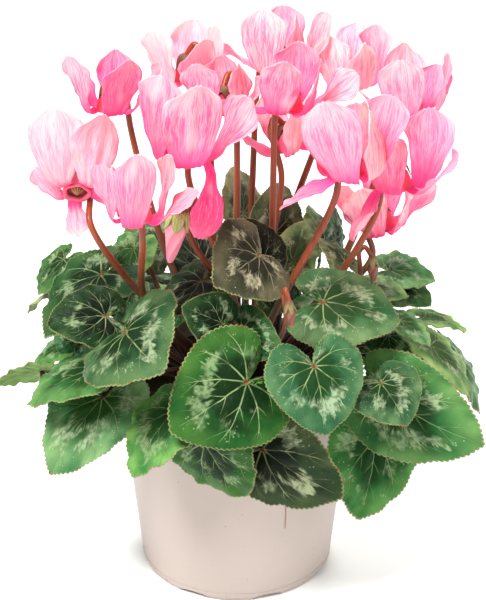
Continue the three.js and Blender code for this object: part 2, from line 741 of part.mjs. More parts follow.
function budStemSolids(bud, i) {
  const ahead = vector(bud.points).normalize();
  const top = vector(bud.top);
  const side = new THREE.Vector3(-top.x, -top.y, 0).addScaledVector(UP, TUBER_TOP - top.z);
  side.addScaledVector(ahead, -side.dot(ahead)).normalize();
  const place = (r, z) => top.clone().addScaledVector(side, r).addScaledVector(ahead, -z);
  const capRadius = 0.8 * bud.radius;
  const capTurn = budTurn(bud).multiply(new THREE.Quaternion().setFromAxisAngle(RIGHT, Math.PI));
  const cap = calyxSolid(place(0, CLEARANCE), capTurn, capRadius);
  const hook = bud.hook;
  return [hookedStem(place, CLEARANCE + CALYX_HEIGHT, hook, bud.stem, bud, 50 + i), cap];
}

const plant = new THREE.Group();
const add = (name, mesh) => {
  mesh.name = name;
  plant.add(mesh);
};
const numbered = (word, i) => word + "_" + String(i + 1).padStart(2, "0");

add("pot", new THREE.Mesh(geometryOf(potSolid()), POT_PLASTIC));
add("soil", new THREE.Mesh(geometryOf(soilSolid()), SOIL_PEAT));
const leaves = [...LEAVES, ...backLeaves()];
leaves.forEach((leaf, i) => {
  leaf.phase = 1.7 * i;
  add(numbered("leaf", i), leafMesh(leaf));
});
BLOOMS.forEach((bloom, i) => add(numbered("bloom", i), bloomMesh(bloom, i)));
BUDS.forEach((bud, i) => add(numbered("bud", i), budMesh(bud)));
const stems = [
  tuberSolid(),
  ...leaves.map(petioleSolid),
  ...BLOOMS.flatMap(peduncleSolids),
  ...BUDS.flatMap(budStemSolids),
];
add("tuber_and_stems", new THREE.Mesh(geometryOf(joined(stems)), STEM_SKIN));

export default plant;
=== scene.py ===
# %% [markdown]
# # A potted cyclamen
#
# A cyclamen grows from one flat tuber that sits half out of the soil. Every leaf and every
# flower rises from it on its own stem. The leaves lie over each other like roof tiles and
# hide the rim of the pot, and the flowers stand above them with their petals swept up.
#
# The solids of the plant come first as a fixed frame. Each step below then makes one kind of
# piece finer than its solid and puts it in the solid's place.

import math

import bpy
import numpy as np
from mathutils import Matrix, Quaternion, Vector


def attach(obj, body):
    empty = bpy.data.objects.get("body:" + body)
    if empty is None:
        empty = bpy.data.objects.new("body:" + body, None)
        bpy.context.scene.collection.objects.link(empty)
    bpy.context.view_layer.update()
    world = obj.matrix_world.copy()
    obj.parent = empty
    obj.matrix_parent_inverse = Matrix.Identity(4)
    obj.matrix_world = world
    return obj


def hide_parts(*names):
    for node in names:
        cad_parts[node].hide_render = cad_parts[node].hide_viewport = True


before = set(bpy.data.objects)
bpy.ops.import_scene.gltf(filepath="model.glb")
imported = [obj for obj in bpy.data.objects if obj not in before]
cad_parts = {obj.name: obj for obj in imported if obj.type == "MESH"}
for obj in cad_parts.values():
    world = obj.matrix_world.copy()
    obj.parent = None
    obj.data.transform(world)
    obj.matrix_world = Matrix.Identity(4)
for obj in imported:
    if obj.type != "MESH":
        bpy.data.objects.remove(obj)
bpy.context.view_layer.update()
print("nodes in the frame:", len(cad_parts))

# %% [markdown]
# The plant is laid out in millimetres, as a grower would measure it, and Blender counts in metres,
# so one factor turns the first into the second. A few small helpers keep the later cells short:
# they select a single object, read and write its points, copy and join pieces, and give a piece its
# body and hide the solids that it stands for.

# %% Helpers that every step uses
MM = 0.001
UP = Vector((0, 0, 1))
made = []


def take(obj):
    """Make one object the only selected and active one."""
    if bpy.context.mode != "OBJECT":
        bpy.ops.object.mode_set(mode="OBJECT")
    bpy.ops.object.select_all(action="DESELECT")
    obj.select_set(True)
    bpy.context.view_layer.objects.active = obj


def points_of(obj):
    """The object's vertices as an array with three columns."""
    flat = np.empty(len(obj.data.vertices) * 3)
    obj.data.vertices.foreach_get("co", flat)
    return flat.reshape(-1, 3)


def set_points(obj, points):
    """Move the object's vertices to these points, in metres."""
    obj.data.vertices.foreach_set("co", np.asarray(points, dtype=float).ravel())
    obj.data.update()


def lay(obj, local, turning, shift):
    """Turn points in millimetres by a matrix, shift them, and give them to the object."""
    set_points(obj, (np.asarray(local) @ turning.T + np.array(shift)) * MM)


def write_attribute(obj, name, vectors):
    """Store a vector on each vertex, for a material to read."""
    attribute = obj.data.attributes.new(name, "FLOAT_VECTOR", "POINT")
    attribute.data.foreach_set("vector", np.asarray(vectors, dtype=float).ravel())


def copied(master, name):
    """A copy of a master piece with a mesh of its own."""
    obj = master.copy()
    obj.data = master.data.copy()
    obj.name = obj.data.name = name
    bpy.context.scene.collection.objects.link(obj)
    return obj


def joined(objects, name):
    """Join several objects into the first one."""
    take(objects[0])
    for obj in objects:
        obj.select_set(True)
    bpy.ops.object.join()
    obj = bpy.context.view_layer.objects.active
    obj.name = obj.data.name = name
    return obj


def seat(obj, slot, *nodes):
    """The piece rides with the plant and hides the solids that it stands for; the slot is not used.
    """
    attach(obj, "root")
    if nodes:
        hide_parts(*nodes)
    made.append(obj)


def seeded(seed):
    """A random number generator that gives the same numbers on every run."""
    state = seed * 7919 + 17

    def draw():
        nonlocal state
        state = (state * 16807) % 2147483647
        return state / 2147483647

    return draw


print("helpers ready")

# %% [markdown]
# A material here is a recipe of nodes. Drawn by hand it would be a large web, so two small
# classes shorten it. Each method of the recipe adds one node and hands back its output as
# a value, and values can be added and multiplied like numbers, which adds a maths node for
# each sign. What is the same all over a surface is set on the shader itself, and what
# changes over it is linked.

# %% A recipe for materials
class Value:
    """The output of a node, for sums with other values and with numbers."""

    def __init__(self, recipe, socket):
        self.math = recipe.math
        self.socket = socket

    def __add__(self, other):
        return self.math("ADD", self, other)

    def __sub__(self, other):
        return self.math("SUBTRACT", self, other)

    def __rsub__(self, other):
        return self.math("SUBTRACT", other, self)

    def __mul__(self, other):
        return self.math("MULTIPLY", self, other)

    def __truediv__(self, other):
        return self.math("DIVIDE", self, other)

    def __abs__(self):
        return self.math("ABSOLUTE", self)


class Recipe:
    """A material that is built node by node round the usual shader."""

    def __init__(self, name, roughness=0.5, **constants):
        self.material = bpy.data.materials.new(name)
        self.material.use_nodes = True
        self.nodes = self.material.node_tree.nodes
        self.links = self.material.node_tree.links
        self.shader = self.nodes["Principled BSDF"]
        self.shader.inputs["Roughness"].default_value = roughness
        for socket, value in constants.items():
            self.shader.inputs[socket.replace("_", " ")].default_value = value

    def put(self, socket, value):
        if isinstance(value, Value):
            self.links.new(value.socket, socket)
        elif isinstance(value, tuple) and socket.type == "RGBA":
            socket.default_value = (*value, 1)
        else:
            socket.default_value = value

    def add(self, kind, inputs=(), output=0, **settings):
        """Add a node, fill its inputs by number or by name, and hand back one output."""
        node = self.nodes.new("ShaderNode" + kind)
        for name, setting in settings.items():
            setattr(node, name, setting)
        for key, value in dict(inputs).items():
            self.put(node.inputs[key], value)
        return Value(self, node.outputs[output])

    def finish(self, socket, value):
        """Link a value to one of the shader's own sockets."""
        self.put(self.shader.inputs[socket], value)

    def attribute(self, name):
        return self.add("Attribute", output="Vector", attribute_name=name)

    def place(self):
        return self.add("TexCoord", output="Object")

    def parts(self, vector):
        outputs = self.add("SeparateXYZ", {0: vector}).socket.node.outputs
        return [Value(self, output) for output in outputs]

    def vector(self, x, y, z):
        return self.add("CombineXYZ", {0: x, 1: y, 2: z})

    def math(self, operation, a, b=0.0):
        return self.add("Math", {0: a, 1: b}, operation=operation)

    def ramp(self, value, low, high, to_low=0.0, to_high=1.0):
        """Carry a value smoothly from one range to another."""
        inputs = {0: value, 1: low, 2: high, 3: to_low, 4: to_high}
        return self.add("MapRange", inputs, interpolation_type="SMOOTHSTEP")

    def mix(self, share, first, second, blend="MIX"):
        inputs = {0: share, 6: first, 7: second}
        return self.add("Mix", inputs, 2, data_type="RGBA", blend_type=blend)

    def dimmed(self, colour, share):
        return self.mix(1.0, colour, self.vector(share, share, share), "MULTIPLY")

    def noise(self, vector, scale, detail=3.0, roughness=0.5):
        inputs = {"Vector": vector, "Scale": scale, "Detail": detail, "Roughness": roughness}
        return self.add("TexNoise", inputs)

    def cells(self, vector, scale, feature="F1"):
        return self.add("TexVoronoi", {"Vector": vector, "Scale": scale}, feature=feature)

    def bump(self, height, depth, strength=1.0):
        """Let a height pattern tilt the surface. The depth is in metres."""
        inputs = {"Strength": strength, "Distance": depth, "Height": height}
        self.finish("Normal", self.add("Bump", inputs))


print("recipe ready")

# %% [markdown]
# The camera stands where the photographer stood: a little over half a metre above the table and
# just under a metre in front of the plant, looking down on it. The picture is taken with a long
# lens, so the plant keeps its proportions. These values were found by moving the camera until the
# pot's lip and foot match.

# %% Camera
CAMERA_PLACE = (0.0033, -0.9065, 0.623)
CAMERA_PITCH = 62.15  # degrees from straight down
PICTURE_HEIGHT = 600  # pixels on the picture's long side
FOCAL_LENGTH = 2110  # in the same pixels
SENSOR = 36  # mm on the long side

bpy.ops.object.camera_add(
    location=CAMERA_PLACE, rotation=(math.radians(CAMERA_PITCH), 0, 0)
)
camera = bpy.context.object
camera.data.sensor_width = SENSOR
camera.data.lens = SENSOR * FOCAL_LENGTH / PICTURE_HEIGHT
bpy.context.scene.camera = camera
print("lens:", round(camera.data.lens, 1), "mm")

# %% [markdown]
# The plant stands on a plain white sheet in soft light. Round area lamps are used because
# their size sets how soft the shadows are. A large one overhead and in front gives the main
# light, a weaker one fills the right, one behind lets the petals glow, and the pale sky
# round it all keeps the shadows open.

# %% Floor and light
LAMPS = [  # name, place in metres, power in watts and width in metres
    ("main_light", (-0.6, -0.8, 1.75), 61, 0.8),
    ("fill_light", (1.2, -0.6, 0.9), 9, 1.0),
    ("back_light", (0.2, 1.2, 1.4), 24, 0.9),
]
LAMPS_AIM = Vector((0, 0, 0.15))
SKY_COLOUR = (1.0, 0.985, 0.955, 1)
SKY_STRENGTH = 0.40
FLOOR_SIZE = 12  # metres

for name, place, power, size in LAMPS:
    bpy.ops.object.light_add(type="AREA", location=place)
    lamp = bpy.context.object
    lamp.name = name
    lamp.data.energy = power
    lamp.data.shape = "DISK"
    lamp.data.size = size
    lamp.rotation_euler = (LAMPS_AIM - Vector(place)).to_track_quat("-Z", "Y").to_euler()

world = bpy.context.scene.world or bpy.data.worlds.new("sky")
bpy.context.scene.world = world
world.use_nodes = True
sky = world.node_tree.nodes["Background"]
sky.inputs["Color"].default_value = SKY_COLOUR
sky.inputs["Strength"].default_value = SKY_STRENGTH
bpy.context.scene.view_settings.view_transform = "Standard"

bpy.ops.mesh.primitive_plane_add(size=FLOOR_SIZE, location=(0, 0, 0))
floor = bpy.context.object
floor.name = "floor"
white_sheet = Recipe("white_sheet", 0.9)
white_sheet.finish("Base Color", (0.97, 0.97, 0.97))
floor.data.materials.append(white_sheet.material)
print("lamps:", len(LAMPS))

# %% [markdown]
# Each leaf blade is a heart with its notch where the stem joins it. The table gives the
# notch and the tip of each blade in millimetres, and how far it rolls about the line
# between them. These are the same numbers that the solids of the frame were made from, so
# each finished leaf lies exactly where its solid lies. The leaves of the far side come
# from a rule, because the picture doesn't show them.

# %% Where the leaves lie
LEAVES = [
    # hanging over the front of the pot
    dict(notch=(6, -83, 147), tip=(-30, -94, 126), roll=0, wide=1.05, arch=0.1),
    dict(notch=(-15, -75, 110), tip=(5, -80, 82), roll=25, wide=1.3, lift=6),
    dict(notch=(11, -76, 107), tip=(50, -86, 86), roll=10, wide=0.95, lift=8, sway=12),
    dict(notch=(67, -44, 94), tip=(59, -62, 57), roll=42, wide=0.95, lift=8),
    dict(notch=(-28, -68, 123), tip=(-48, -86, 97), roll=40, lift=5),
    dict(notch=(-63, -38, 113), tip=(-89, -56, 79), roll=-25, wide=0.8, lift=6, sway=10),
    # facing the viewer
    dict(notch=(-51, -64, 162), tip=(-33, -97, 159), roll=-15, wide=1.2),
    dict(notch=(35, -84, 156), tip=(41, -97, 126), roll=0, wide=1.15),
    dict(notch=(70, -58, 122), tip=(116, -70, 104), roll=30, wide=0.8),
    dict(notch=(66, -72, 140), tip=(78, -88, 126), roll=20, wide=1.2),
    dict(notch=(39, -50, 170), tip=(76, -54, 161), roll=-10, wide=1.0, crown=-0.35),
    dict(notch=(11, -50, 194), tip=(-9, -74, 190), roll=-20, wide=1.1),
    dict(notch=(13, -30, 180), tip=(5, -20, 198), roll=0),
    dict(notch=(-15, -42, 177), tip=(-38, -48, 160), roll=30, wide=1.2),
    dict(notch=(-6, -68, 168), tip=(-24, -72, 179), roll=0),
    dict(notch=(2, -60, 160), tip=(21, -73, 156), roll=20, wide=0.9),
    # left side
    dict(notch=(-64, -6, 162), tip=(-92, -24, 136), roll=-25, wide=0.85),
    dict(notch=(-60, -40, 157), tip=(-88, -46, 156), roll=0),
    dict(notch=(-66, -36, 127), tip=(-100, -44, 111), roll=30),
    dict(notch=(-96, 5, 102), tip=(-121, 1, 95), roll=0, wide=0.75, bow=16),
    dict(notch=(-86, 11, 114), tip=(-102, 15, 100), roll=0),
    dict(notch=(-84, 32, 138), tip=(-106, 36, 118), roll=0, bow=8, sway=6),
    dict(notch=(-50, 14, 166), tip=(-54, 2, 148), roll=-40, sway=9),
    dict(notch=(-36, 28, 158), tip=(-54, 50, 162), roll=0, sway=-16),
    # right side and top
    dict(notch=(4, 40, 171), tip=(-1, 62, 188), roll=0, wide=0.75),
    dict(notch=(44, 25, 161), tip=(38, 50, 171), roll=0, sway=3),
    dict(notch=(52, -13, 172), tip=(40, 2, 177), roll=0),
    dict(notch=(74, 14, 154), tip=(98, 12, 149), roll=30, sway=-15),
    dict(notch=(62, -10, 156), tip=(83, -12, 153), roll=0),
    dict(notch=(93, 12, 129), tip=(115, 14, 120), roll=0, wide=0.7, sway=-6),
    dict(notch=(77, -30, 150), tip=(92, -38, 140), roll=0),
    dict(notch=(107, 8, 111), tip=(121, -6, 83), roll=20, wide=1.1, bow=14),
    dict(notch=(93, -18, 130), tip=(116, -24, 101), roll=0, wide=0.8),
    # upright between the flower stems
    dict(notch=(19, 12, 174), tip=(22, 34, 192), roll=0, wide=0.8),
    dict(notch=(27, -2, 165), tip=(33, 18, 178), roll=0, wide=0.75),
    dict(notch=(-16, 8, 160), tip=(-22, 30, 176), roll=0, wide=0.9),
]
BACK_LEAVES = 4
BACK_SPREAD = (38, 149)  # degrees, the sides that the first and the last leaf face
TUBER_TOP = 103
CROWN_RADIUS = 18  # the stems leave the tuber inside this circle
DOME_CENTRE = Vector((0, 0, 112))  # the blades face away from this point


def on_ring(radius, side, height):
    side = math.radians(side)
    return (radius * math.cos(side), radius * math.sin(side), height)


def back_leaves():
    draw = seeded(5)

    def between(low, high):
        return low + (high - low) * draw()

    leaves = []
    for i in range(BACK_LEAVES):
        share = i / (BACK_LEAVES - 1)
        side = BACK_SPREAD[0] + (BACK_SPREAD[1] - BACK_SPREAD[0]) * share
        height = between(139, 143) if i % 2 else between(119, 123)
        notch = on_ring(between(52, 57), side, height)
        tip_radius = between(103, 107)
        tip_side = side + between(-6, 6)
        tip = on_ring(tip_radius, tip_side, height - between(20, 28))
        roll = between(12, 18)
        wide = between(0.61, 0.69)
        leaves.append(dict(notch=notch, tip=tip, roll=roll, wide=wide, bow=12, sway=-6))
    return leaves


LEAVES = LEAVES + back_leaves()
for i, leaf in enumerate(LEAVES):
    leaf["phase"] = 1.7 * i


def leaf_frame(leaf):
    """The axes of a leaf at its notch: to its tip, across it and out of its upper face."""
    notch, tip = Vector(leaf["notch"]), Vector(leaf["tip"])
    along = tip - notch
    length = along.length
    along.normalize()
    out = notch.lerp(tip, 0.4) - DOME_CENTRE
    out = (out - along * out.dot(along)).normalized()
    out.rotate(Quaternion(along, math.radians(leaf.get("roll", 0))))
    return notch, along, out.cross(along), out, length


print("leaves:", len(LEAVES))

# %% [markdown]
# A cyclamen's blade is a broad heart whose margin is beaded with fine rounded teeth. It
# could be one flat filled face, but then it could neither bend nor take the relief of its
# veins. So the plan of one blade is drawn flat, with its notch at the origin and its tip
# one unit along X, and filled with rings. A circle gets its vertices moved onto the toothed
# outline, and then its edges are extruded and shrunk towards a point near the notch, ring
# by ring, as one would do by hand. The rings lie close together at the margin, where the
# form changes fastest.

# %% The flat plan of a blade
HALF_OUTLINE = [
    (0, 0), (-0.13, 0.05), (-0.28, 0.16), (-0.35, 0.31), (-0.27, 0.47), (-0.11, 0.58),
    (0.09, 0.63), (0.3, 0.6), (0.52, 0.5), (0.72, 0.36), (0.89, 0.19), (1, 0),
]
TEETH = 80
TOOTH_STEPS = 3
TOOTH_DEPTH = 0.013  # in lengths from notch to tip
TOOTH_SHAPE = [-1, 0.2, 0.2]  # across one tooth, from the gap before it
PLAIN_NOTCH = 0.12  # the teeth fade out this near to the notch
RING_CENTRE = Vector((0.12, 0, 0))
RINGS = [0.965, 0.92, 0.85, 0.76, 0.66, 0.56, 0.45, 0.34, 0.23, 0.12]


def spline(points, count):
    """Evenly spaced points on the smooth curve through the given ones."""
    given = np.array(points, dtype=float)
    padded = np.vstack([2 * given[0] - given[1], given, 2 * given[-1] - given[-2]])
    fine = []
    for i in range(len(given) - 1):
        a, b, c, d = padded[i : i + 4]
        t = np.linspace(0, 1, 40, endpoint=False)[:, None]
        cubic = 2 * b + (c - a) * t + (2 * a - 5 * b + 4 * c - d) * t**2
        fine.append(0.5 * (cubic + (3 * b - a - 3 * c + d) * t**3))
    fine = np.vstack([*fine, given[-1:]])
    steps = np.linalg.norm(np.diff(fine, axis=0), axis=1)
    travel = np.concatenate([[0], np.cumsum(steps)])
    wanted = np.linspace(0, travel[-1], count)
    return np.column_stack([np.interp(wanted, travel, column) for column in fine.T])


def toothed_outline():
    half = spline(HALF_OUTLINE, TEETH * TOOTH_STEPS // 2 + 1)
    outline = np.vstack([half, half[-2:0:-1] * (1, -1)])
    ahead = np.roll(outline, -1, axis=0) - np.roll(outline, 1, axis=0)
    outward = np.column_stack([-ahead[:, 1], ahead[:, 0]])
    outward /= np.linalg.norm(outward, axis=1)[:, None]
    shape = np.tile(TOOTH_SHAPE, TEETH)
    from_notch = np.minimum(1, np.linalg.norm(outline, axis=1) / PLAIN_NOTCH)
    return outline + outward * (TOOTH_DEPTH * shape * from_notch)[:, None]


def open_for_edit(obj):
    """Open an object in edit mode with all of it selected."""
    take(obj)
    bpy.ops.object.mode_set(mode="EDIT")
    bpy.ops.mesh.select_all(action="SELECT")


def fill_with_rings(obj, shrinks, centre):
    """Extrude a flat outline towards the centre, ring by ring, and close it in a point."""
    open_for_edit(obj)
    for shrink in shrinks:
        bpy.ops.mesh.extrude_edges_move()
        bpy.ops.transform.resize(value=(shrink, shrink, 1), center_override=centre)
    bpy.ops.mesh.extrude_edges_move()
    bpy.ops.mesh.merge(type="CENTER")


outline = toothed_outline()
bpy.ops.mesh.primitive_circle_add(vertices=len(outline), radius=1)
blade = bpy.context.object
blade.name = "blade_plan"
set_points(blade, np.column_stack([outline, np.zeros(len(outline))]))
fill_with_rings(blade, [ring / before for before, ring in zip([1, *RINGS], RINGS)], RING_CENTRE)
bpy.ops.mesh.select_all(action="SELECT")
bpy.ops.mesh.normals_make_consistent(inside=False)
bpy.ops.mesh.flip_normals()
bpy.ops.object.mode_set(mode="OBJECT")
print("plan:", len(blade.data.vertices), "vertices, up:", blade.data.polygons[0].normal.z > 0)

# %% [markdown]
# Many things on a leaf depend on how near the margin is: the bands of its marbling, the
# teeth, the ripple of its rim. So each vertex of the plan gets its share of the way from
# the rings' centre to the margin, 0 in the middle and 1 at the edge.

# %% How near the margin each vertex lies
def seen_from_centre(points):
    """Bearing and distance of flat points from the rings' centre."""
    off = points - np.array(RING_CENTRE[:2])
    return np.arctan2(off[:, 1], off[:, 0]), np.linalg.norm(off, axis=1)


plan = points_of(blade)[:, :2]
rim_bearing, rim_reach = seen_from_centre(outline)
order = np.argsort(rim_bearing)
plan_bearing, plan_reach = seen_from_centre(plan)
rim_there = np.interp(plan_bearing, rim_bearing[order], rim_reach[order], period=2 * math.pi)
rim_share = np.clip(plan_reach / rim_there, 0, 1)
print("vertices on the margin:", int((rim_share > 0.99).sum()))

# %% [markdown]
# The veins leave the notch like the fingers of a hand and bend forward to the tip, and the
# main ones fork twice. On the real leaf they are sunk a little into the upper face and the
# skin between them is quilted. This could be sculpted, leaf by leaf. A rule for where the
# veins run is used here, because it serves twice: it shapes the surface, and in the leaf's
# material it draws the pale lines in the same places.

# %% Veins and relief of a blade
VEIN_START = 0.03  # how far behind the notch the stem joins, in blade lengths
VEIN_STEP = 0.72  # radians between one main vein and the next
VEIN_BEND = 0.75  # how strongly they turn forward
FORKS = (0.26, 0.5)  # where a main vein forks, in blade lengths from the stem
FORK_SLOPE = 0.75

ARCH = 0.07  # usual height of the arch along a blade
CROWN = -0.12  # usual bend across it, below zero where its sides hang
CREASE = 0.06  # usual rise of its two halves from the midrib
WAVE = 0.03  # usual height of the waves at its margin
WAVES = 4  # round the margin
BLADE_CENTRE = 0.25  # middle of the waves
BLADE_THICKNESS = 0.55  # mm
VEIN_DEPTH = 0.6  # mm from the skin between the veins down into them
PILLOW_HEIGHT = 1.2  # mm that the skin swells between two main veins
RIPPLE_HEIGHT = 0.8  # mm at the margin
PUCKER_HEIGHT = 0.34  # mm


def vein_distance(u, v):
    """Distance from the nearest main vein and from the nearest fork."""
    u = u - VEIN_START
    away = np.hypot(u, v)
    angle = np.abs(np.arctan2(v, u)) * (1 + VEIN_BEND * away**2)
    off = (np.mod(angle + VEIN_STEP / 2, VEIN_STEP) - VEIN_STEP / 2) * away
    forks = [
        np.where(away > start, np.abs(np.abs(off) - FORK_SLOPE * (away - start)), 1)
        for start in FORKS
    ]
    return np.abs(off), np.minimum(*forks)


def blade_height(u, v, leaf):
    """Height of the bent blade over its plan, in blade lengths."""
    away = np.hypot(u - BLADE_CENTRE, v)
    around = np.arctan2(v, u - BLADE_CENTRE)
    arch = leaf.get("arch", ARCH) * 4 * u * (1 - u)
    crown = leaf.get("crown", CROWN) * v**2
    wave = WAVE * np.sin(WAVES * around + leaf["phase"]) * away**2
    return arch + crown + CREASE * np.abs(v) + wave


def relief(u, v, rim, phase, length):
    """Sunk veins, quilted skin and a rippled margin, in millimetres."""
    main, fork = vein_distance(u, v)
    near = np.minimum(main, fork * 1.6) * length
    quilt = VEIN_DEPTH * (1 - np.exp(-near / 1.7)) * np.clip(1.15 - rim, 0, 1)
    swell = PILLOW_HEIGHT * (1 - np.exp(-((main * length / 5) ** 2))) * np.clip(1.1 - rim, 0, 1)
    around = np.arctan2(v, u - BLADE_CENTRE)
    ripple = np.sin(9 * around + 2.3 * phase) + 0.6 * np.sin(16 * around - phase)
    puckers = np.sin(u * 23 + phase) * np.sin(v * 21 - phase)
    edge = rim**5 * np.clip(length / 40, 0.4, 1)
    return quilt + swell - 0.5 + edge * (RIPPLE_HEIGHT * ripple - 0.4) + PUCKER_HEIGHT * puckers


near, fork_near = vein_distance(plan[:, 0], plan[:, 1])
print("vertices on a vein or a fork:", int((np.minimum(near, fork_near) < 0.01).sum()))

# %% [markdown]
# The upper face of a leaf has a dark middle, a greener rim with a pale haze, and between
# the two a broken ring of silvery marbling with ragged fingers and loose dots. The veins
# run over it as thin yellow-green lines, and the teeth are pale with a touch of red. A
# painted picture could show this, but it would repeat on every leaf. The pattern is worked
# out on the plan of the blade instead, so it follows every bend and differs each time.

# %% The veins and the marbling as masks
MAIN_VEIN_WIDTH = 0.013  # half the width at the stem, in blade lengths
THINNEST_VEIN = 0.0040


def drawn_veins(recipe, u, v):
    """The main veins and the forks as two masks, from 0 to 1, and the distance from the stem."""
    m = recipe.math
    u = u - VEIN_START
    away = m("SQRT", u * u + v * v)
    angle = abs(m("ARCTAN2", v, u)) * (away * away * VEIN_BEND + 1.0)
    off = m("MODULO", angle + VEIN_STEP / 2, VEIN_STEP)
    off = abs((off - VEIN_STEP / 2) * away)
    width = m("MAXIMUM", MAIN_VEIN_WIDTH - away * 0.009, THINNEST_VEIN)
    main = recipe.ramp(off / width, 1.0, 0.35)
    forks = 0.0
    for start in FORKS:
        gap = abs(off - (away - start) * FORK_SLOPE)
        fork = recipe.ramp(gap / width, 0.9, 0.3)
        middle = off / (away * (VEIN_STEP / 2))
        fork = fork * recipe.ramp(middle, 0.92, 0.45)
        forks = m("MAXIMUM", forks, fork * m("GREATER_THAN", away, start))
    return main, forks, away


def marbling(recipe, u, v, rim, seed):
    """The broken ring with ragged fingers, and the loose dots outside it."""
    m = recipe.math
    x = u - RING_CENTRE[0]
    away = m("SQRT", x * x + v * v) + 0.02
    round_way = recipe.vector(x / away * 5.5, v / away * 5.5, rim * 1.6 + seed)
    fingers = recipe.noise(round_way, 1.0, 4.0, 0.62) - 0.5
    drift = recipe.noise(recipe.vector(u, v, seed + 7.0), 2.2, 1.0) - 0.5
    spikes = recipe.noise(round_way, 2.2, 2.0, 0.6) - 0.5
    drifting = rim + (fingers * 0.40 + drift * 0.45)
    inner = drifting - spikes * 0.40
    outer = drifting + spikes * 0.55
    ring = recipe.ramp(inner, 0.38, 0.50) * recipe.ramp(outer, 0.74, 0.67)
    spread = recipe.vector(u, v, seed)
    patches = recipe.ramp(recipe.noise(spread, 3.0, 3.0), 0.46, 0.57)
    grain = recipe.ramp(recipe.noise(spread, 20, 3.0), 0.36, 0.60, 0.35, 1.0)
    dots = recipe.ramp(recipe.cells(spread, 24), 0.26, 0.14)
    few = recipe.ramp(recipe.noise(spread, 7, 1.0), 0.52, 0.62)
    outside = recipe.ramp(rim, 0.55, 0.66) * recipe.ramp(rim, 0.92, 0.84)
    return m("MAXIMUM", ring * patches * grain, dots * few * outside)


print("masks ready")

# %% [markdown]
# The two faces of a leaf get a material each. A blade's tone says how bluish, how bright and how
# brown it is, and every colour of the upper face is mixed between a plain, a bluish and a brown one
# by it. Its brightness is partly the leaf's own lightness and partly painted light and shade: it
# paints a leaf lighter where it catches the light and darker where it lies in shade. The silver
# marbling keeps its own brightness, because it is air under the skin that shines and not the green.
# The lower face is paler and plainer.

# %% Leaf materials
def leaf_upper_material():
    leaf = Recipe("leaf_upper", 0.40, Specular_IOR_Level=0.10)
    m = leaf.math
    u, v, rim = leaf.parts(leaf.attribute("plan"))
    blue, brightness_with_painted_light, brown = leaf.parts(leaf.attribute("tone"))
    seed = (blue + brightness_with_painted_light * 3.1) * 17.3
    spread = leaf.vector(u, v, seed)
    wobble = leaf.noise(spread, 5, 2.0) - 0.5
    main, forks, away = drawn_veins(leaf, u, v + wobble * 0.035)

    middle = leaf.mix(blue, (0.005, 0.028, 0.003), (0.004, 0.022, 0.010))
    # painted light and shade: a brighter leaf also gets a lighter middle
    middle = leaf.mix(brightness_with_painted_light, middle, (0.006, 0.040, 0.005))
    body = leaf.mix(blue, (0.010, 0.100, 0.012), (0.011, 0.080, 0.034))
    haze = leaf.mix(blue, (0.075, 0.215, 0.026), (0.080, 0.180, 0.085))
    middle = leaf.mix(brown, middle, (0.018, 0.018, 0.010))
    body = leaf.mix(brown, body, (0.042, 0.040, 0.022))
    haze = leaf.mix(brown, haze, (0.170, 0.140, 0.080))
    colour = leaf.mix(leaf.ramp(rim + wobble * 1.3, 0.36, 0.86), middle, body)
    veil = leaf.ramp(rim, 0.45, 0.95) * leaf.ramp(leaf.noise(spread, 2.6, 2.0), 0.3, 0.7)
    # painted light and shade: every colour but the silver is made lighter or darker by the leaf's
    # brightness
    colour = leaf.dimmed(leaf.mix(veil, colour, haze), brightness_with_painted_light * 0.85 + 0.42)

    silver = leaf.mix(blue, (0.260, 0.385, 0.165), (0.330, 0.440, 0.280))
    silver = leaf.mix(brown, silver, (0.360, 0.330, 0.220))
    vigour = leaf.noise(leaf.vector(seed, 0.0, 0.0), 1.0, 0.0)
    vigour = leaf.ramp(vigour, 0.30, 0.65, 0.5, 0.9)
    colour = leaf.mix(marbling(leaf, u, v, rim, seed) * vigour, colour, silver)

    pale = leaf.mix(brown, (0.320, 0.450, 0.190), (0.280, 0.240, 0.150))
    broken = leaf.ramp(leaf.noise(spread, 6, 2.0), 0.30, 0.62, 0.25, 1.0)
    strength = leaf.ramp(rim, 0.98, 0.72) * (broken * 0.72)
    colour = leaf.mix(m("MAXIMUM", main, forks * 0.7) * strength, colour, pale)
    red_tip = leaf.ramp(leaf.noise(spread, 9, 1.0), 0.50, 0.68)
    tooth = leaf.mix(red_tip, (0.300, 0.330, 0.130), (0.300, 0.130, 0.070))
    colour = leaf.mix(leaf.ramp(rim, 0.972, 0.994, 0.0, 0.7), colour, tooth)
    colour = leaf.mix(leaf.ramp(away, 0.045, 0.015), colour, (0.230, 0.040, 0.020))
    leaf.finish("Base Color", colour)

    net = leaf.ramp(leaf.cells(spread, 30, "DISTANCE_TO_EDGE"), 0.0, 0.12)
    leaf.bump(net * 0.35 - m("MAXIMUM", main, forks), 0.00035, 0.8)
    return leaf.material


def leaf_under_material():
    leaf = Recipe("leaf_under", 0.6, Specular_IOR_Level=0.3)
    u, v, rim = leaf.parts(leaf.attribute("plan"))
    blue, brightness_with_painted_light, brown = leaf.parts(leaf.attribute("tone"))
    main, forks, away = drawn_veins(leaf, u, v)
    pale = leaf.mix(brown, (0.060, 0.200, 0.022), (0.300, 0.220, 0.130))
    cloud = leaf.noise(leaf.vector(u, v, blue), 4, 2.0)
    colour = leaf.mix(cloud, pale, (0.150, 0.280, 0.060))
    colour = leaf.mix(main * 0.6, colour, (0.280, 0.200, 0.110))
    leaf.finish("Base Color", colour)
    leaf.bump(leaf.math("MAXIMUM", main, forks * 0.6), 0.00040)
    return leaf.material


leaf_upper = leaf_upper_material()
leaf_under = leaf_under_material()
print("leaf material nodes:", len(leaf_upper.node_tree.nodes))
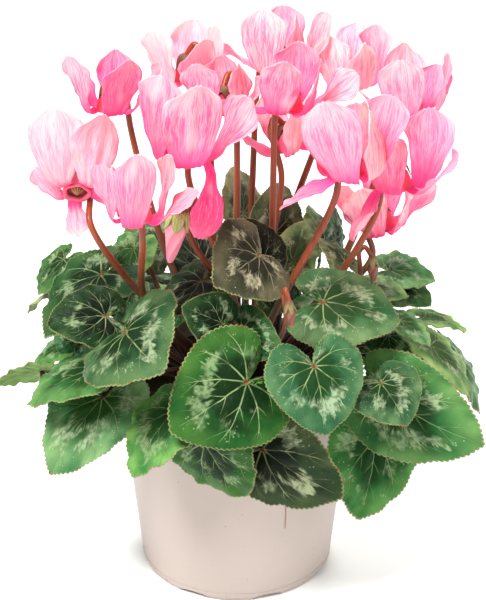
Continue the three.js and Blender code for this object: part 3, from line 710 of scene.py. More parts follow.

# %% [markdown]
# Forty copies of the flat plan are laid in place. Each takes its own length, width and
# bend, gets the relief of the veins, and becomes a thin sheet with a solidify modifier.
# The modifier gives its lower side a second material slot, because a cyclamen's leaf is
# paler and plainer underneath. Every copy carries two small sets of numbers for the
# material: where each point lies on the plan, and the tone of the leaf as a whole.

# %% Lay the leaves
# Tone of a leaf: how bluish, how bright and how brown it is. The brightness is partly the leaf's
# own and partly painted light and shade: 0 to 1 is the usual range, below it a leaf is painted
# darker as if it lay in shade, and above it a leaf is painted lighter as one that catches the
# light.
TONES = {
    1: (0.1, 0.25, 0.0), 2: (0.0, 0.3, 0.0), 3: (0.15, 0.05, 0.5), 4: (0.3, 0.85, 0.0),
    5: (0.2, 1.7, 0.2), 6: (0.65, 2.0, 0.3), 7: (0.6, 0.5, 0.2), 8: (0.8, 0.85, 0.1),
    9: (0.4, 0.95, 0.1), 10: (0.7, 0.65, 0.2), 11: (0.6, 1.0, 0.3), 12: (0.3, 0.4, 0.9),
    13: (0.3, -0.3, 0.8), 14: (0.3, -0.1, 0.4), 15: (0.4, -0.1, 0.1), 16: (0.5, 0.4, 0.1),
    17: (0.4, 0.2, 0.1), 18: (0.3, -0.1, 0.1), 19: (0.3, 1.2, 0.15), 21: (0.2, 1.3, 0.1),
    22: (0.1, 1.9, 0.5), 23: (0.3, 2.0, 0.3), 24: (0.3, 1.1, 0.5), 25: (0.3, 1.8, 0.8),
    26: (0.4, 2.0, 0.5), 27: (0.3, 0.8, 0.7), 28: (0.6, 2.1, 0.2), 29: (0.4, 2.0, 0.4),
    30: (0.1, 3.4, 0.45), 31: (0.6, 2.0, 0.3), 32: (0.5, 1.3, 0.2), 33: (0.1, 2.4, 0.5),
    34: (0.3, 0.7, 0.8), 35: (0.3, 2.0, 0.6), 36: (0.3, -0.1, 0.6), 37: (0.5, 2.0, 0.3),
}
leaf_draw = seeded(11)


def leaf_tone(number):
    usual = (0.2 + 0.6 * leaf_draw(), 0.3 + 0.4 * leaf_draw(), 0.25 * leaf_draw())
    return TONES.get(number, usual)


def thicken(obj, thickness, offset=0, underside=0):
    """Give a sheet its thickness in millimetres, and its lower side its own slot."""
    take(obj)
    bpy.ops.object.modifier_add(type="SOLIDIFY")
    wall = obj.modifiers[0]
    wall.thickness = thickness * MM
    wall.offset = offset
    wall.material_offset = underside
    bpy.ops.object.modifier_apply(modifier=wall.name)


def lay_leaf(number, leaf):
    notch, along, across, out, length = leaf_frame(leaf)
    obj = copied(blade, f"leaf_{number:02d}_blade")
    u = plan[:, 0]
    v = plan[:, 1] * leaf.get("wide", 1)
    height = blade_height(u, v, leaf) * length
    height = height + relief(u, plan[:, 1], rim_share, leaf["phase"], length)
    local = np.column_stack([u * length, v * length, height])
    lay(obj, local, np.array([along, across, out]).T, notch)
    write_attribute(obj, "plan", np.column_stack([plan, rim_share]))
    write_attribute(obj, "tone", np.tile(leaf_tone(number), (len(plan), 1)))
    obj.data.materials.append(leaf_upper)
    obj.data.materials.append(leaf_under)
    thicken(obj, BLADE_THICKNESS, offset=-1, underside=1)
    bpy.ops.object.shade_smooth()
    return obj


for i, leaf in enumerate(LEAVES):
    seat(lay_leaf(i + 1, leaf), "leaves", f"leaf_{i + 1:02d}")
print("leaf faces:", sum(len(obj.data.polygons) for obj in made))

# %% [markdown]
# A healthy plant keeps pushing up young leaves, and they fill the gaps between the grown
# ones so that little of the soil can be seen. They are the same blade, laid small. Most of
# them face the viewer, because they stand in a gap and turn to the light that falls into
# it. Their stems come with those of the grown leaves.

# %% Young leaves
YOUNG_LEAVES = [
    dict(notch=(73, -18, 135), tip=(75, -27, 123), roll=55, wide=1.3),
    dict(notch=(-50, -22, 160), tip=(-53, -34, 150), wide=1.2),
    dict(notch=(-54, -27, 149), tip=(-56, -39, 141), wide=1.3),
    dict(notch=(-79, 5, 122), tip=(-80, -2, 109), roll=-70, wide=1.3),
    dict(notch=(60, 5, 121), tip=(60, -3, 107), roll=60, wide=1.2),
    dict(notch=(73, 5, 125), tip=(75, -3, 111), roll=60, wide=1.3),
    dict(notch=(17, -5, 149), tip=(15, -15, 141)),
    dict(notch=(30, 14, 148), tip=(27, 7, 140)),
    dict(notch=(42, 30, 156), tip=(40, 23, 146), wide=1.1),
    dict(notch=(-26, -14, 148), tip=(-29, -24, 142)),
    dict(notch=(78, 8, 146), tip=(95, -2, 142), roll=42, wide=1.3),
    dict(notch=(-85, 24, 155), tip=(-98, 15, 139), roll=-35, wide=1.1),
    dict(notch=(49, 30, 161), tip=(50, 44, 173), wide=1.1),
    dict(notch=(82, -14, 131), tip=(84, -22, 120), roll=55, wide=1.3),
]
for i, leaf in enumerate(YOUNG_LEAVES):
    leaf["phase"] = 2.3 * i
young = [lay_leaf(len(LEAVES) + 1 + i, leaf) for i, leaf in enumerate(YOUNG_LEAVES)]
young_leaves = joined(young, "young_leaves")
seat(young_leaves, "leaves")
bpy.data.objects.remove(blade)
print("young leaves:", len(YOUNG_LEAVES), "faces:", len(young_leaves.data.polygons))

# %% [markdown]
# A cyclamen's flower nods: its short tube points to the ground and its five petals turn
# back at the mouth and stand up like a shuttlecock. The table gives the middle of each
# mouth, the side that the tube leans to, and for each petal the compass side that it
# points to, its rise above the level and its length, and for a slim one its width as a
# share of the usual. The fullest flower has six petals. As with the leaves, these are the
# numbers that the solids were made from.

# %% Where the flowers stand
BLOOMS = [
    dict(mouth=(-72, -38, 219), lean=(90, 60),
         petals=[(110, 72, 40), (58, 70, 38), (5, -12, 29), (-80, -50, 18), (150, 50, 20)]),
    dict(mouth=(-43, -74, 223), lean=(90, 10), first=-99, sway=-19,
         petals=[(0, 86, 44, 0.65), (10, 45, 28, 0.8), (-10, 82, 36, 0.7),
                 (170, 78, 28), (150, 82, 32)]),
    dict(mouth=(-59, 6, 242), lean=(90, 5), first=-153, sway=3,
         petals=[(170, 76, 34), (20, 78, 34), (10, 59, 32), (90, 69, 30), (150, 58, 30)]),
    dict(mouth=(-24, 40, 243), lean=(90, 5),
         petals=[(175, 69, 34), (-80, 76, 32), (0, 79, 32), (70, 71, 32), (130, 69, 32)]),
    dict(mouth=(-21, -53, 242), lean=(90, 10), first=-90, sway=15,
         petals=[(50, 80, 46), (-100, -66, 37, 0.85), (5, 56, 40),
                 (110, 73, 38), (100, 80, 47)]),
    dict(mouth=(-6, 11, 238), lean=(90, 10),
         petals=[(170, 77, 32), (60, 75, 30), (0, 59, 24), (90, 69, 30), (150, 59, 26)]),
    dict(mouth=(20, 47, 245), lean=(90, 10),
         petals=[(120, 78, 38), (60, 74, 36), (10, 64, 38), (80, 73, 36), (170, 35, 30)]),
    dict(mouth=(24, -18, 252), lean=(90, 5),
         petals=[(0, 80, 32), (20, 67, 32), (5, 35, 32), (70, 71, 34), (175, 14, 38)]),
    dict(mouth=(55, 50, 236), lean=(90, 8), first=-135, sway=5,
         petals=[(150, 80, 32), (-60, 80, 30), (60, 77, 36), (70, 69, 34), (160, 49, 28)]),
    dict(mouth=(82, 14, 236), lean=(90, 10), first=-99, sway=-12,
         petals=[(150, 78, 34), (20, 74, 38), (40, 64, 28), (80, 71, 38), (150, 30, 28)]),
    dict(mouth=(50, -60, 238), lean=(90, 10), first=-150, sway=-15,
         petals=[(-160, -20, 30), (150, 68, 45), (100, 81, 42),
                 (60, 72, 42), (80, 69, 36), (140, 59, 32)]),
    dict(mouth=(74, -30, 218), lean=(90, 10), first=-108, sway=-9,
         petals=[(170, 76, 36), (-30, 49, 36), (50, 71, 44), (110, 59, 30), (-110, -30, 32)]),
    dict(mouth=(26, 21, 216), lean=(180, 15), first=-171, bow=-4, sway=-3,
         petals=[(175, 30, 32), (80, 72, 30), (20, 49, 28), (90, 69, 30), (150, 69, 30)]),
    dict(mouth=(71, 6, 181), lean=(180, 20), bow=0,
         petals=[(170, 71, 32), (-60, 69, 28), (20, 54, 28), (90, 64, 32), (150, 49, 30)]),
]
TUBE_HEIGHT = 9  # mm
TUBE_RADIUS = 6.6  # outside, at the mouth
FIRST_PETAL = -126  # degrees, the usual place of the first petal round the mouth
STEM_GAP_OPENING = 11  # degrees, how far the two petals beside the stem stand aside
PETAL_LENGTH = 41  # the length at which a petal is as wide as its outline says
PETAL_TURN = 0.26  # share of a petal's length in which it turns up from the mouth
PETAL_DIP = -35  # degrees, the slope with which a petal leaves the mouth
PETAL_ROOT = 0.7  # mm that a petal starts inside the mouth's rim
PETAL_TWIST = (25, 45)  # degrees, from its root to its tip
PETAL_CURL = (-30, 20)  # degrees, back or forth over its length


def compass(side, rise):
    side, rise = math.radians(side), math.radians(rise)
    level = math.cos(rise)
    return Vector((level * math.cos(side), level * math.sin(side), math.sin(rise)))


def bloom_slots(bloom):
    """The turn of a bloom, the petals' ends and places, and the stem's place round it."""
    side, lean = bloom["lean"]
    turn = UP.rotation_difference(compass(side, 90 - lean))
    back = turn.inverted()
    step = 2 * math.pi / len(bloom["petals"])
    first = math.radians(bloom.get("first", FIRST_PETAL))
    x, y, z = bloom["mouth"]
    down = back @ Vector((-x, -y, TUBER_TOP - z))
    gap = math.floor((math.atan2(down.y, down.x) - first) / step)
    stem = first + (gap + 0.5) * step
    ends = [back @ compass(*petal[:2]) for petal in bloom["petals"]]
    slots = []
    for i in range(len(ends)):
        slot = first + i * step
        off = math.remainder(slot - stem, 2 * math.pi)
        aside = math.copysign(math.radians(STEM_GAP_OPENING), off)
        slots.append(slot + aside if abs(off) < step else slot)
    return turn, ends, slots, stem


print("flowers:", len(BLOOMS), "petals:", sum(len(b["petals"]) for b in BLOOMS))

# %% [markdown]
# A petal is a long soft tongue: narrow where it leaves the mouth, broadest near its end,
# rounded at the tip and gently waved along its margin. One petal could be cut from a plane
# and bent by hand, but seventy of them want a rule. A flat grid is the sheet that each is
# made from. Its middle line dips away from the mouth, turns up and twists a little, and
# every row of the grid is laid across that line.

# %% The middle line of a petal
PETAL_COLUMNS = 16
PETAL_ROWS = 40
LINE_STEPS = 50

bpy.ops.mesh.primitive_grid_add(x_subdivisions=PETAL_COLUMNS, y_subdivisions=PETAL_ROWS, size=2)
sheet = bpy.context.object
sheet.name = "petal_sheet"
sheet_points = points_of(sheet)
petal_side = sheet_points[:, 0].copy()
petal_share = (sheet_points[:, 1] + 1) / 2


def smooth_step(x):
    t = min(max(x, 0), 1)
    return t * t * (3 - 2 * t)


def petal_line(slot, end, length, twist, curl):
    """Points of a petal's middle line with the directions ahead, across and out of it."""
    radial = Vector((math.cos(slot), math.sin(slot), 0))
    tangent = Vector((-math.sin(slot), math.cos(slot), 0))
    dip = math.radians(PETAL_DIP)
    start = radial * math.cos(dip) + UP * math.sin(dip)
    swing = start.rotation_difference(end)
    point = radial * (TUBE_RADIUS - PETAL_ROOT) + UP * PETAL_ROOT
    lines = []
    for i in range(LINE_STEPS + 1):
        share = i / LINE_STEPS
        part = Quaternion().slerp(swing, smooth_step(share / PETAL_TURN))
        across = part @ tangent
        bend = math.radians(curl) * max(0, share - PETAL_TURN)
        ahead = Quaternion(across, bend) @ (part @ start)
        across = Quaternion(ahead, math.radians(twist) * share * share) @ across
        lines.append([*point, *ahead, *across, *ahead.cross(across)])
        point = point + ahead * (length / LINE_STEPS)
    lines = np.array(lines)
    shares = np.linspace(0, 1, LINE_STEPS + 1)
    return np.column_stack([np.interp(petal_share, shares, line) for line in lines.T])


print("petal sheet:", len(sheet_points), "points")

# %% [markdown]
# No two petals of a real flower are alike. Each one draws its own mix of a round and a
# pointed outline, the place of its waves and how far it leans, and the drawing is seeded,
# so that the plant is the same every time. The rows are then set across the middle line.
# A keel runs down the middle, shallow pleats run beside it, and the margin is wavy.

# %% The form of a petal
PETAL_THICKNESS = 0.28  # mm
PETAL_WIDTHS = [  # share of the length and width in millimetres, for a round petal
    (0, 7), (0.1, 8.6), (0.24, 14), (0.4, 20.2), (0.56, 25), (0.7, 27.2), (0.8, 26.6),
    (0.88, 23.6), (0.94, 18.8), (0.98, 13), (1, 7.5),
]
POINTED_WIDTHS = [
    (0, 7), (0.1, 8.6), (0.24, 13.8), (0.4, 19.6), (0.56, 23.8), (0.68, 24.4), (0.78, 22.6),
    (0.86, 19), (0.93, 13.8), (0.98, 8.4), (1, 4.5),
]
TIP_ROUND = [(0.85, 0), (0.94, 1.6), (0.98, 1.4), (1, 0.8)]  # mm that a row's ends fall back
ROOT_SHARE = 0.24  # share of the length in which all petals are equally wide
MARGIN_WAVE = 1.0  # mm, and so are the next five
MARGIN_RIPPLE = 0.4
PLEAT_DEPTH = 0.4
KEEL_DEPTH = 0.65
TIP_NOTCHES = 0.3
PETAL_LEAN = 1.1


def petal_points(slot, end, length, slim, twist, curl, draw):
    lines = petal_line(slot, end, length, twist, curl)
    point, ahead, across, face = lines[:, 0:3], lines[:, 3:6], lines[:, 6:9], lines[:, 9:12]
    side, share = petal_side, petal_share
    size = length / PETAL_LENGTH
    pointed = 0.8 * draw() ** 2
    width = np.interp(share, *zip(*PETAL_WIDTHS)) * (1 - pointed)
    width = width + np.interp(share, *zip(*POINTED_WIDTHS)) * pointed
    root = np.clip(1 - share / ROOT_SHARE, 0, 1)
    width = width * (size * slim + (1 - size * slim) * root)

    wave_start, fold_start, lean = 6.3 * draw(), 6.3 * draw(), 2 * draw() - 1
    margin = np.abs(side) ** 2.5 * np.clip(share / 0.5, 0, 1) * np.clip((1.1 - share) / 0.25, 0, 1)
    wave = MARGIN_WAVE * np.sin(11 * share + wave_start + 1.8 * side) * margin
    wave += MARGIN_RIPPLE * np.sin(25 * share + fold_start - 2.5 * side) * margin
    belly = np.sin(math.pi * share)
    pleat = PLEAT_DEPTH * np.cos(3.2 * math.pi * side + fold_start) * belly
    keel = -KEEL_DEPTH * np.exp(-((side / 0.14) ** 2)) * belly
    lift = (0.08 * draw() - 0.01) * width * side**2 + wave + pleat + keel
    sway = PETAL_LEAN * lean * np.sin(2.6 * share) * share
    back = np.interp(share, *zip(*TIP_ROUND)) * size * side**2
    near_tip = np.clip((share - 0.85) / 0.15, 0, 1)
    back = back + TIP_NOTCHES * np.sin(9 * side + wave_start) * near_tip
    spread = (side * width / 2 + sway)[:, None]
    return point + across * spread + face * lift[:, None] - ahead * back[:, None]


widest = max(width for share, width in PETAL_WIDTHS)
print("widest petal of the usual length:", widest, "mm")

# %% [markdown]
# The petals are thin enough for light to shine into them, so their material scatters light
# under the surface. They are deep pink at the mouth and run out to a pale rim. Darker lines
# and flecks follow their length, paler ones lie between, and here and there the pink looks
# washed out. Stretched noise gives all of these, laid along the petal by its own numbers.
# Each petal carries its paleness and depth. One whose paleness is over 1 is painted darker, as
# painted shade that tones down a petal which faces the main light.

# %% Petal material
def petal_material():
    petal = Recipe(
        "petal", 0.6, Subsurface_Weight=0.35, Subsurface_Scale=0.004,
        Subsurface_Radius=(1.0, 0.35, 0.8), Specular_IOR_Level=0.15,
    )
    side, share, seed = petal.parts(petal.attribute("sheet"))
    pale, deep, flecked = petal.parts(petal.attribute("hue"))
    lines = petal.noise(petal.vector(side * 9.0, share * 2.6, seed), 1.0, 5.0, 0.65)
    fine = petal.noise(petal.vector(side * 30.0, share * 9.0, seed), 1.0, 3.0, 0.6)
    cloud = petal.noise(petal.vector(side, share * 1.7, seed), 1.6, 2.0)

    light = petal.mix(pale, (1.000, 0.205, 0.300), (1.000, 0.440, 0.465))
    rim = petal.mix(pale, (1.000, 0.310, 0.345), (1.000, 0.600, 0.560))
    outward = share + (cloud - 0.5) * 0.7
    colour = petal.mix(petal.ramp(outward, 0.45, 1.0), light, rim)
    hot = petal.mix(deep, (0.985, 0.095, 0.255), (0.960, 0.014, 0.115))
    base = (share + (lines - 0.5) * 0.55) / (deep * 0.58 + 0.08)
    colour = petal.mix(petal.ramp(base, 1.25, 0.35), colour, hot)

    streak = (0.900, 0.065, 0.180)
    drawn = petal.ramp(lines, 0.46, 0.58) * petal.ramp(share, 1.05, 0.55, 0.5, 0.85)
    colour = petal.mix(drawn * flecked, colour, streak)
    colour = petal.mix(petal.ramp(fine, 0.48, 0.64) * (flecked * 0.6), colour, streak)
    pale_line = petal.ramp(fine, 0.47, 0.37) * petal.ramp(share, 0.2, 0.6, 0.1, 0.6)
    colour = petal.mix(pale_line, colour, rim)
    washed = petal.noise(petal.vector(side * 0.9, share * 1.8, seed + 30.0), 1.0, 1.0)
    washed = petal.ramp(washed, 0.52, 0.75, 0.0, 0.45) * petal.ramp(share, 0.15, 0.45)
    colour = petal.mix(washed, colour, (1.000, 0.530, 0.510))
    # painted shade: a paleness over 1 darkens the whole petal
    colour = petal.dimmed(colour, petal.ramp(pale, 1.0, 2.0, 1.0, 0.4))
    petal.finish("Base Color", colour)
    petal.bump(lines + fine * 0.4, 0.0003, 0.6)
    return petal.material


petal_pink = petal_material()
print("petal material nodes:", len(petal_pink.node_tree.nodes))

# %% [markdown]
# The tube of a flower is a plain pink with faint ribs outside. Inside it is dark brown-red, partly
# its own colour and partly painted shade for the deep tube.
# The anthers within it are striped tan and brown. Both are one mesh, so one material serves
# both, and two numbers on each point say whether it lies inside and whether it is an anther.

# %% Throat material
def throat_material():
    throat = Recipe("throat", 0.5, Subsurface_Weight=0.2, Subsurface_Scale=0.003)
    turn, height, seed = throat.parts(throat.attribute("sheet"))
    inside, core = throat.parts(throat.attribute("hue"))[:2]
    ribs = throat.noise(throat.vector(turn * 6.0, height, seed), 1.0, 2.0)
    upward = throat.ramp(height, 0.0, 0.7)
    colour = throat.mix(upward, (0.880, 0.120, 0.220), (0.850, 0.120, 0.220))
    colour = throat.mix(ribs * 0.5, colour, (0.600, 0.030, 0.100))
    # partly painted shade: the inside of the tube is made dark brown-red
    colour = throat.mix(inside, colour, (0.130, 0.022, 0.014))
    stripe = throat.ramp(throat.math("SINE", turn * 10.0), -0.4, 0.6)
    anther = throat.mix(stripe, (0.480, 0.300, 0.110), (0.200, 0.075, 0.030))
    throat.finish("Base Color", throat.mix(core, colour, anther))
    return throat.material


throat_pink = throat_material()
print("throat material nodes:", len(throat_pink.node_tree.nodes))

# %% [markdown]
# The tube is a short bell with five soft ribs and a rolled mouth. Inside it sits the cone
# of the five anthers, whose point just shows at the dark mouth. Both are round, so the
# outline of each is spun once round the upright axis, as a potter would turn it. They are
# made once and joined, and every flower gets a copy.

# %% The tube of a flower
TUBE_OUTLINE = [
    (3.2, 9.0), (4.3, 7.6), (5.4, 5.0), (6.1, 2.4), (6.6, 0.6), (6.8, -0.3), (6.0, -0.7),
    (4.9, -0.2), (4.3, 1.2), (4.0, 2.8), (3.8, 5.0), (2.8, 7.0), (0.0, 7.9), (0.0, 9.0),
]
TUBE_SKIN = TUBE_OUTLINE[5::-1]  # its outer side, from the mouth up
INSIDE_DEPTH = 2.1  # mm that the inner wall lies within the outer side
ANTHER_OUTLINE = [
    (0.0, -1.2), (0.3, -1.1), (0.7, -0.2), (1.7, 0.4), (2.6, 1.6), (3.0, 4.0), (2.5, 6.4),
    (0.0, 6.6),
]
TUBE_STEPS, ANTHER_STEPS = 40, 20
TUBE_RIB, ANTHER_RIB = 0.05, 0.14  # height of the five ribs, in radii


def close_and_face_outward(doubles):
    """Merge points nearer than so many millimetres, turn all faces out and end editing."""
    bpy.ops.mesh.select_all(action="SELECT")
    bpy.ops.mesh.remove_doubles(threshold=doubles * MM)
    bpy.ops.mesh.select_all(action="SELECT")
    bpy.ops.mesh.normals_make_consistent(inside=False)
    bpy.ops.object.mode_set(mode="OBJECT")


def spun(name, outline, steps):
    """Spin a closed outline of radius and height, in millimetres, and close its poles."""
    bpy.ops.mesh.primitive_circle_add(vertices=len(outline), radius=1)
    obj = bpy.context.object
    obj.name = name
    set_points(obj, [(r * MM, 0, z * MM) for r, z in outline])
    open_for_edit(obj)
    bpy.ops.mesh.spin(
        steps=steps, angle=2 * math.pi, center=(0, 0, 0), axis=(0, 0, 1), use_auto_merge=False
    )
    close_and_face_outward(0.01)
    return obj


tube = spun("tube", TUBE_OUTLINE, TUBE_STEPS)
tube_count = len(tube.data.vertices)
tube = joined([tube, spun("anthers", ANTHER_OUTLINE, ANTHER_STEPS)], "tube")
throat_points = points_of(tube) / MM
height = throat_points[:, 2]
around = np.arctan2(throat_points[:, 1], throat_points[:, 0])
reach = np.hypot(throat_points[:, 0], throat_points[:, 1])
is_core = np.arange(len(throat_points)) >= tube_count
skin = np.interp(height, [z for r, z in TUBE_SKIN], [r for r, z in TUBE_SKIN])
is_inside = ~is_core & (reach < skin - INSIDE_DEPTH) & (height > 0)
rib = 1 + np.where(is_core, ANTHER_RIB, TUBE_RIB) * np.cos(5 * around)
throat_points[:, :2] *= rib[:, None]
set_points(tube, throat_points * MM)
throat_sheet = np.column_stack([around, height / TUBE_HEIGHT, 0 * around])
throat_hue = np.column_stack([is_inside, is_core, 0 * around]).astype(float)
print("throat points:", len(throat_points), "inside:", int(is_inside.sum()))

# %% [markdown]
# Now the flowers are put together. Each petal is a copy of the sheet laid along its own
# middle line, thickened and joined with the tube. Joining them keeps a flower one piece, as
# it is on the plant. The paleness of the petals differs from flower to flower, and the
# petals that hang or stand level show more of the deep pink.

# %% Put the flowers together
# Hue of a flower: how pale it is, how deep its base is and how strongly it is flecked
HUES = {
    1: (0.5, 0.12, 0.4), 2: (0.35, 0.45, 0.7), 3: (0.15, 0.5, 0.9), 4: (1.0, 0.0, 0.3),
    5: (0.1, 0.55, 1.0), 6: (0.3, 0.5, 0.9), 7: (0.5, 0.2, 0.7), 8: (0.25, 0.55, 0.8),
    9: (0.75, 0.1, 0.6), 10: (0.3, 0.4, 0.7), 11: (0.2, 0.4, 0.7), 12: (0.25, 0.5, 0.8),
    13: (0.6, 0.3, 0.4), 14: (0.5, 0.45, 0.7),
}
# Paleness and depth of single petals, by flower and petal: two are deep pink to the tip, one is a
# plain mid pink, and three are pale; the first of them has a paleness over 1, which paints it
# darker as painted shade, because it faces the main light
PETAL_HUES = {
    (5, 1): (0.0, 2.4), (8, 4): (0.0, 2.4), (5, 3): (0.0, 0.7),
    (1, 0): (1.45, 0.1), (1, 1): (0.8, 0.1), (11, 2): (0.9, 0.1),
}
LOW_RISE = 20  # degrees, petals that rise less show more of their deep base
LOW_DEEPER = 0.25


def lerp(pair, share):
    return pair[0] + (pair[1] - pair[0]) * share


def petal_hue(number, i, rise, draw):
    pale, deep, flecked = HUES[number]
    pale = min(1, max(0, pale + 0.5 * (draw() - 0.5)))
    deep = min(1, deep + (LOW_DEEPER if rise < LOW_RISE else 0))
    return (*PETAL_HUES.get((number, i), (pale, deep)), flecked)


def make_flower(number, bloom):
    turn, ends, slots, stem = bloom_slots(bloom)
    turning, mouth = np.array(turn.to_matrix()), bloom["mouth"]
    form_draw, own_draw = seeded(number - 1), seeded(200 + number)
    pieces = []
    for i, (side, rise, length, *slim) in enumerate(bloom["petals"]):
        twist, curl = lerp(PETAL_TWIST, form_draw()), lerp(PETAL_CURL, form_draw())
        slim = slim[0] if slim else 1
        points = petal_points(slots[i], ends[i], length, slim, twist, curl, own_draw)
        petal = copied(sheet, "petal")
        lay(petal, points, turning, mouth)
        seed = np.full(len(points), 10 * own_draw() + number)
        write_attribute(petal, "sheet", np.column_stack([petal_side, petal_share, seed]))
        hue = petal_hue(number, i, rise, own_draw)
        write_attribute(petal, "hue", np.tile(hue, (len(points), 1)))
        petal.data.materials.append(petal_pink)
        thicken(petal, PETAL_THICKNESS)
        pieces.append(petal)
    throat = copied(tube, "throat")
    lay(throat, points_of(throat) / MM, turning, mouth)
    write_attribute(throat, "sheet", throat_sheet + (0, 0, number))
    write_attribute(throat, "hue", throat_hue)
    throat.data.materials.append(throat_pink)
    flower = joined([*pieces, throat], f"bloom_{number:02d}_flower")
    bpy.ops.object.shade_smooth()
    seat(flower, "petals", f"bloom_{number:02d}")
    return flower


flowers = [make_flower(i + 1, bloom) for i, bloom in enumerate(BLOOMS)]
bpy.data.objects.remove(sheet)
bpy.data.objects.remove(tube)
print("flower faces:", sum(len(obj.data.polygons) for obj in flowers))

# %% [markdown]
# All the stems spring from the crown of the tuber. A leaf stem leans out, clears the rim
# of the pot and meets its blade square on. A flower stem climbs past its flower and hooks
# over into the calyx, so that the flower nods. A circle could be extruded along each stem
# step by step, but it would twist at every bend. So each stem is a curve through a few
# points, given a round section that swells at the foot, and turned into a mesh.

# %% A stem along a smooth line
def through(points, count):
    """A smooth line through the points, with as many steps between each pair."""
    given = [Vector(p) for p in points]
    padded = [2 * given[0] - given[1], *given, 2 * given[-1] - given[-2]]
    line = []
    for i in range(count + 1):
        place = min(i * (len(given) - 1) / count, len(given) - 1 - 1e-9)
        k, t = int(place), place - int(place)
        a, b, c, d = padded[k : k + 4]
        d0, d1, d2 = (max((q - p).length ** 0.5, 0.01) for p, q in ((a, b), (b, c), (c, d)))
        t1 = ((b - a) / d0 - (c - a) / (d0 + d1) + (c - b) / d1) * d1
        t2 = ((c - b) / d1 - (d - b) / (d1 + d2) + (d - c) / d2) * d1
        cubic = 3 * (c - b) - 2 * t1 - t2
        line.append(b + t1 * t + cubic * t**2 + (2 * (b - c) + t1 + t2) * t**3)
    return line


def stem_tube(name, points, radius, steps, sides=2):
    """A round stem along a line; it is thicker at its foot and finest under its end."""
    line = through(points, steps)
    curve = bpy.data.curves.new(name, "CURVE")
    curve.dimensions = "3D"
    curve.bevel_depth = radius * MM
    curve.bevel_resolution = sides
    curve.use_fill_caps = True
    course = curve.splines.new("POLY")
    course.points.add(len(line) - 1)
    for i, place in enumerate(line):
        share = i / (len(line) - 1)
        course.points[i].co = (*(place * MM), 1)
        course.points[i].radius = 1.2 - 0.25 * min(1, share * 3)
    obj = bpy.data.objects.new(name, curve)
    bpy.context.scene.collection.objects.link(obj)
    take(obj)
    bpy.ops.object.convert(target="MESH")
    obj = bpy.context.object
    obj.data.materials.clear()
    return obj


print("stem helpers ready")

# %% [markdown]
# The skin of the stems is red-brown and a little glossy, with fine fibres along it. Near the crown
# it is painted almost black, as painted shade where little light falls; above that it is browner
# and turns redder with its height. The fibres are noise stretched upward, which suits stems that
# all stand more or less upright.

# %% Stem material
def stem_material():
    stem = Recipe(
        "stem_skin", 0.36, Specular_IOR_Level=0.32, Subsurface_Weight=0.08, Subsurface_Scale=0.002
    )
    place = stem.place()
    x, y, z = stem.parts(place)
    fibres = stem.noise(stem.vector(x * 900.0, y * 900.0, z * 60.0), 1.0, 3.0)
    blotch = stem.noise(place, 45.0, 2.0)
    # painted shade: the skin at the foot of the stems is near black, where little light falls
    foot_painted_shade = stem.mix(blotch, (0.016, 0.006, 0.004), (0.040, 0.017, 0.010))
    low = stem.mix(blotch, (0.085, 0.021, 0.010), (0.180, 0.078, 0.034))
    high = stem.mix(blotch, (0.190, 0.027, 0.010), (0.340, 0.076, 0.026))
    colour = stem.mix(stem.ramp(z, 0.125, 0.165), foot_painted_shade, low)
    colour = stem.mix(stem.ramp(z, 0.160, 0.200), colour, high)
    colour = stem.mix(stem.ramp(fibres, 0.5, 0.75, 0.0, 0.6), colour, (0.090, 0.014, 0.010))
    stem.finish("Base Color", colour)
    stem.bump(fibres, 0.0002, 0.6)
    return stem.material


stem_skin = stem_material()
print("stem material nodes:", len(stem_skin.node_tree.nodes))

# %% [markdown]
# A leaf stem needs four points: its root in the crown, the top of its rise, a point just
# under the blade so that it arrives at a right angle, and the end at the notch. Each leaf's
# own numbers lift or sway the rise a little, so that no stem runs through another leaf.

# %% Leaf stems
PETIOLE_RADIUS = 1.35
YOUNG_STEM_RADIUS = 0.9
PETIOLE_END = 7  # length over which a leaf stem meets its blade square on
PETIOLE_DEPTH = 7  # how deep its root sits under the tuber's top
PETIOLE_BOW = 8  # usual lift of its middle
PETIOLE_STEPS = 36
FIRST_YOUNG = 90  # the young leaves are counted from here


def petiole(number, leaf, radius):
    notch, along, across, out, length = leaf_frame(leaf)
    blade_there = float(blade_height(np.array([VEIN_START]), np.array([0.0]), leaf)[0])
    end = notch + along * VEIN_START * length + out * (blade_there * length - 0.8)
    before = end - out * PETIOLE_END
    before.z += leaf.get("lift", 0)
    side = Vector((notch.x, notch.y, 0)).normalized()
    root = side * CROWN_RADIUS * (0.72 if number % 2 else 1)
    root.z = TUBER_TOP - PETIOLE_DEPTH
    rise = root.lerp(before, 0.45)
    rise.z += leaf.get("bow", PETIOLE_BOW) + 1.5 * leaf.get("lift", 0)
    rise += Vector((-side.y, side.x, 0)) * leaf.get("sway", 0)
    return stem_tube(f"petiole_{number}", [root, rise, before, end], radius, PETIOLE_STEPS)


petioles = [petiole(i, leaf, PETIOLE_RADIUS) for i, leaf in enumerate(LEAVES)]
for i, leaf in enumerate(YOUNG_LEAVES):
    petioles.append(petiole(FIRST_YOUNG + i, leaf, YOUNG_STEM_RADIUS))
leaf_stems = joined(petioles, "leaf_stems")
leaf_stems.data.materials.append(stem_skin)
bpy.ops.object.shade_smooth()
seat(leaf_stems, "stems", "tuber_and_stems")
print("leaf stems:", len(petioles), "faces:", len(leaf_stems.data.polygons))

# %% [markdown]
# A flower stem stands beside its flower, rises a little over it and bends down into it. The
# last four of its points make the hook, and they are given in the flower's own frame: so
# far beside its middle, and so far over its mouth.

# %% Flower stems
PEDUNCLE_RADIUS = 1.6
HOOK_RADIUS = 4.6
STEM_ASIDE = 1.5  # how much further out a flower stem stands under its bloom
STEM_UNDER = 12  # how far under the mouth it starts to straighten
STEM_DEPTH = 5
STEM_BOW = 5
STEM_STEPS = 84
CALYX_BASE = TUBE_HEIGHT + 0.35
CALYX_HEIGHT = 3.2


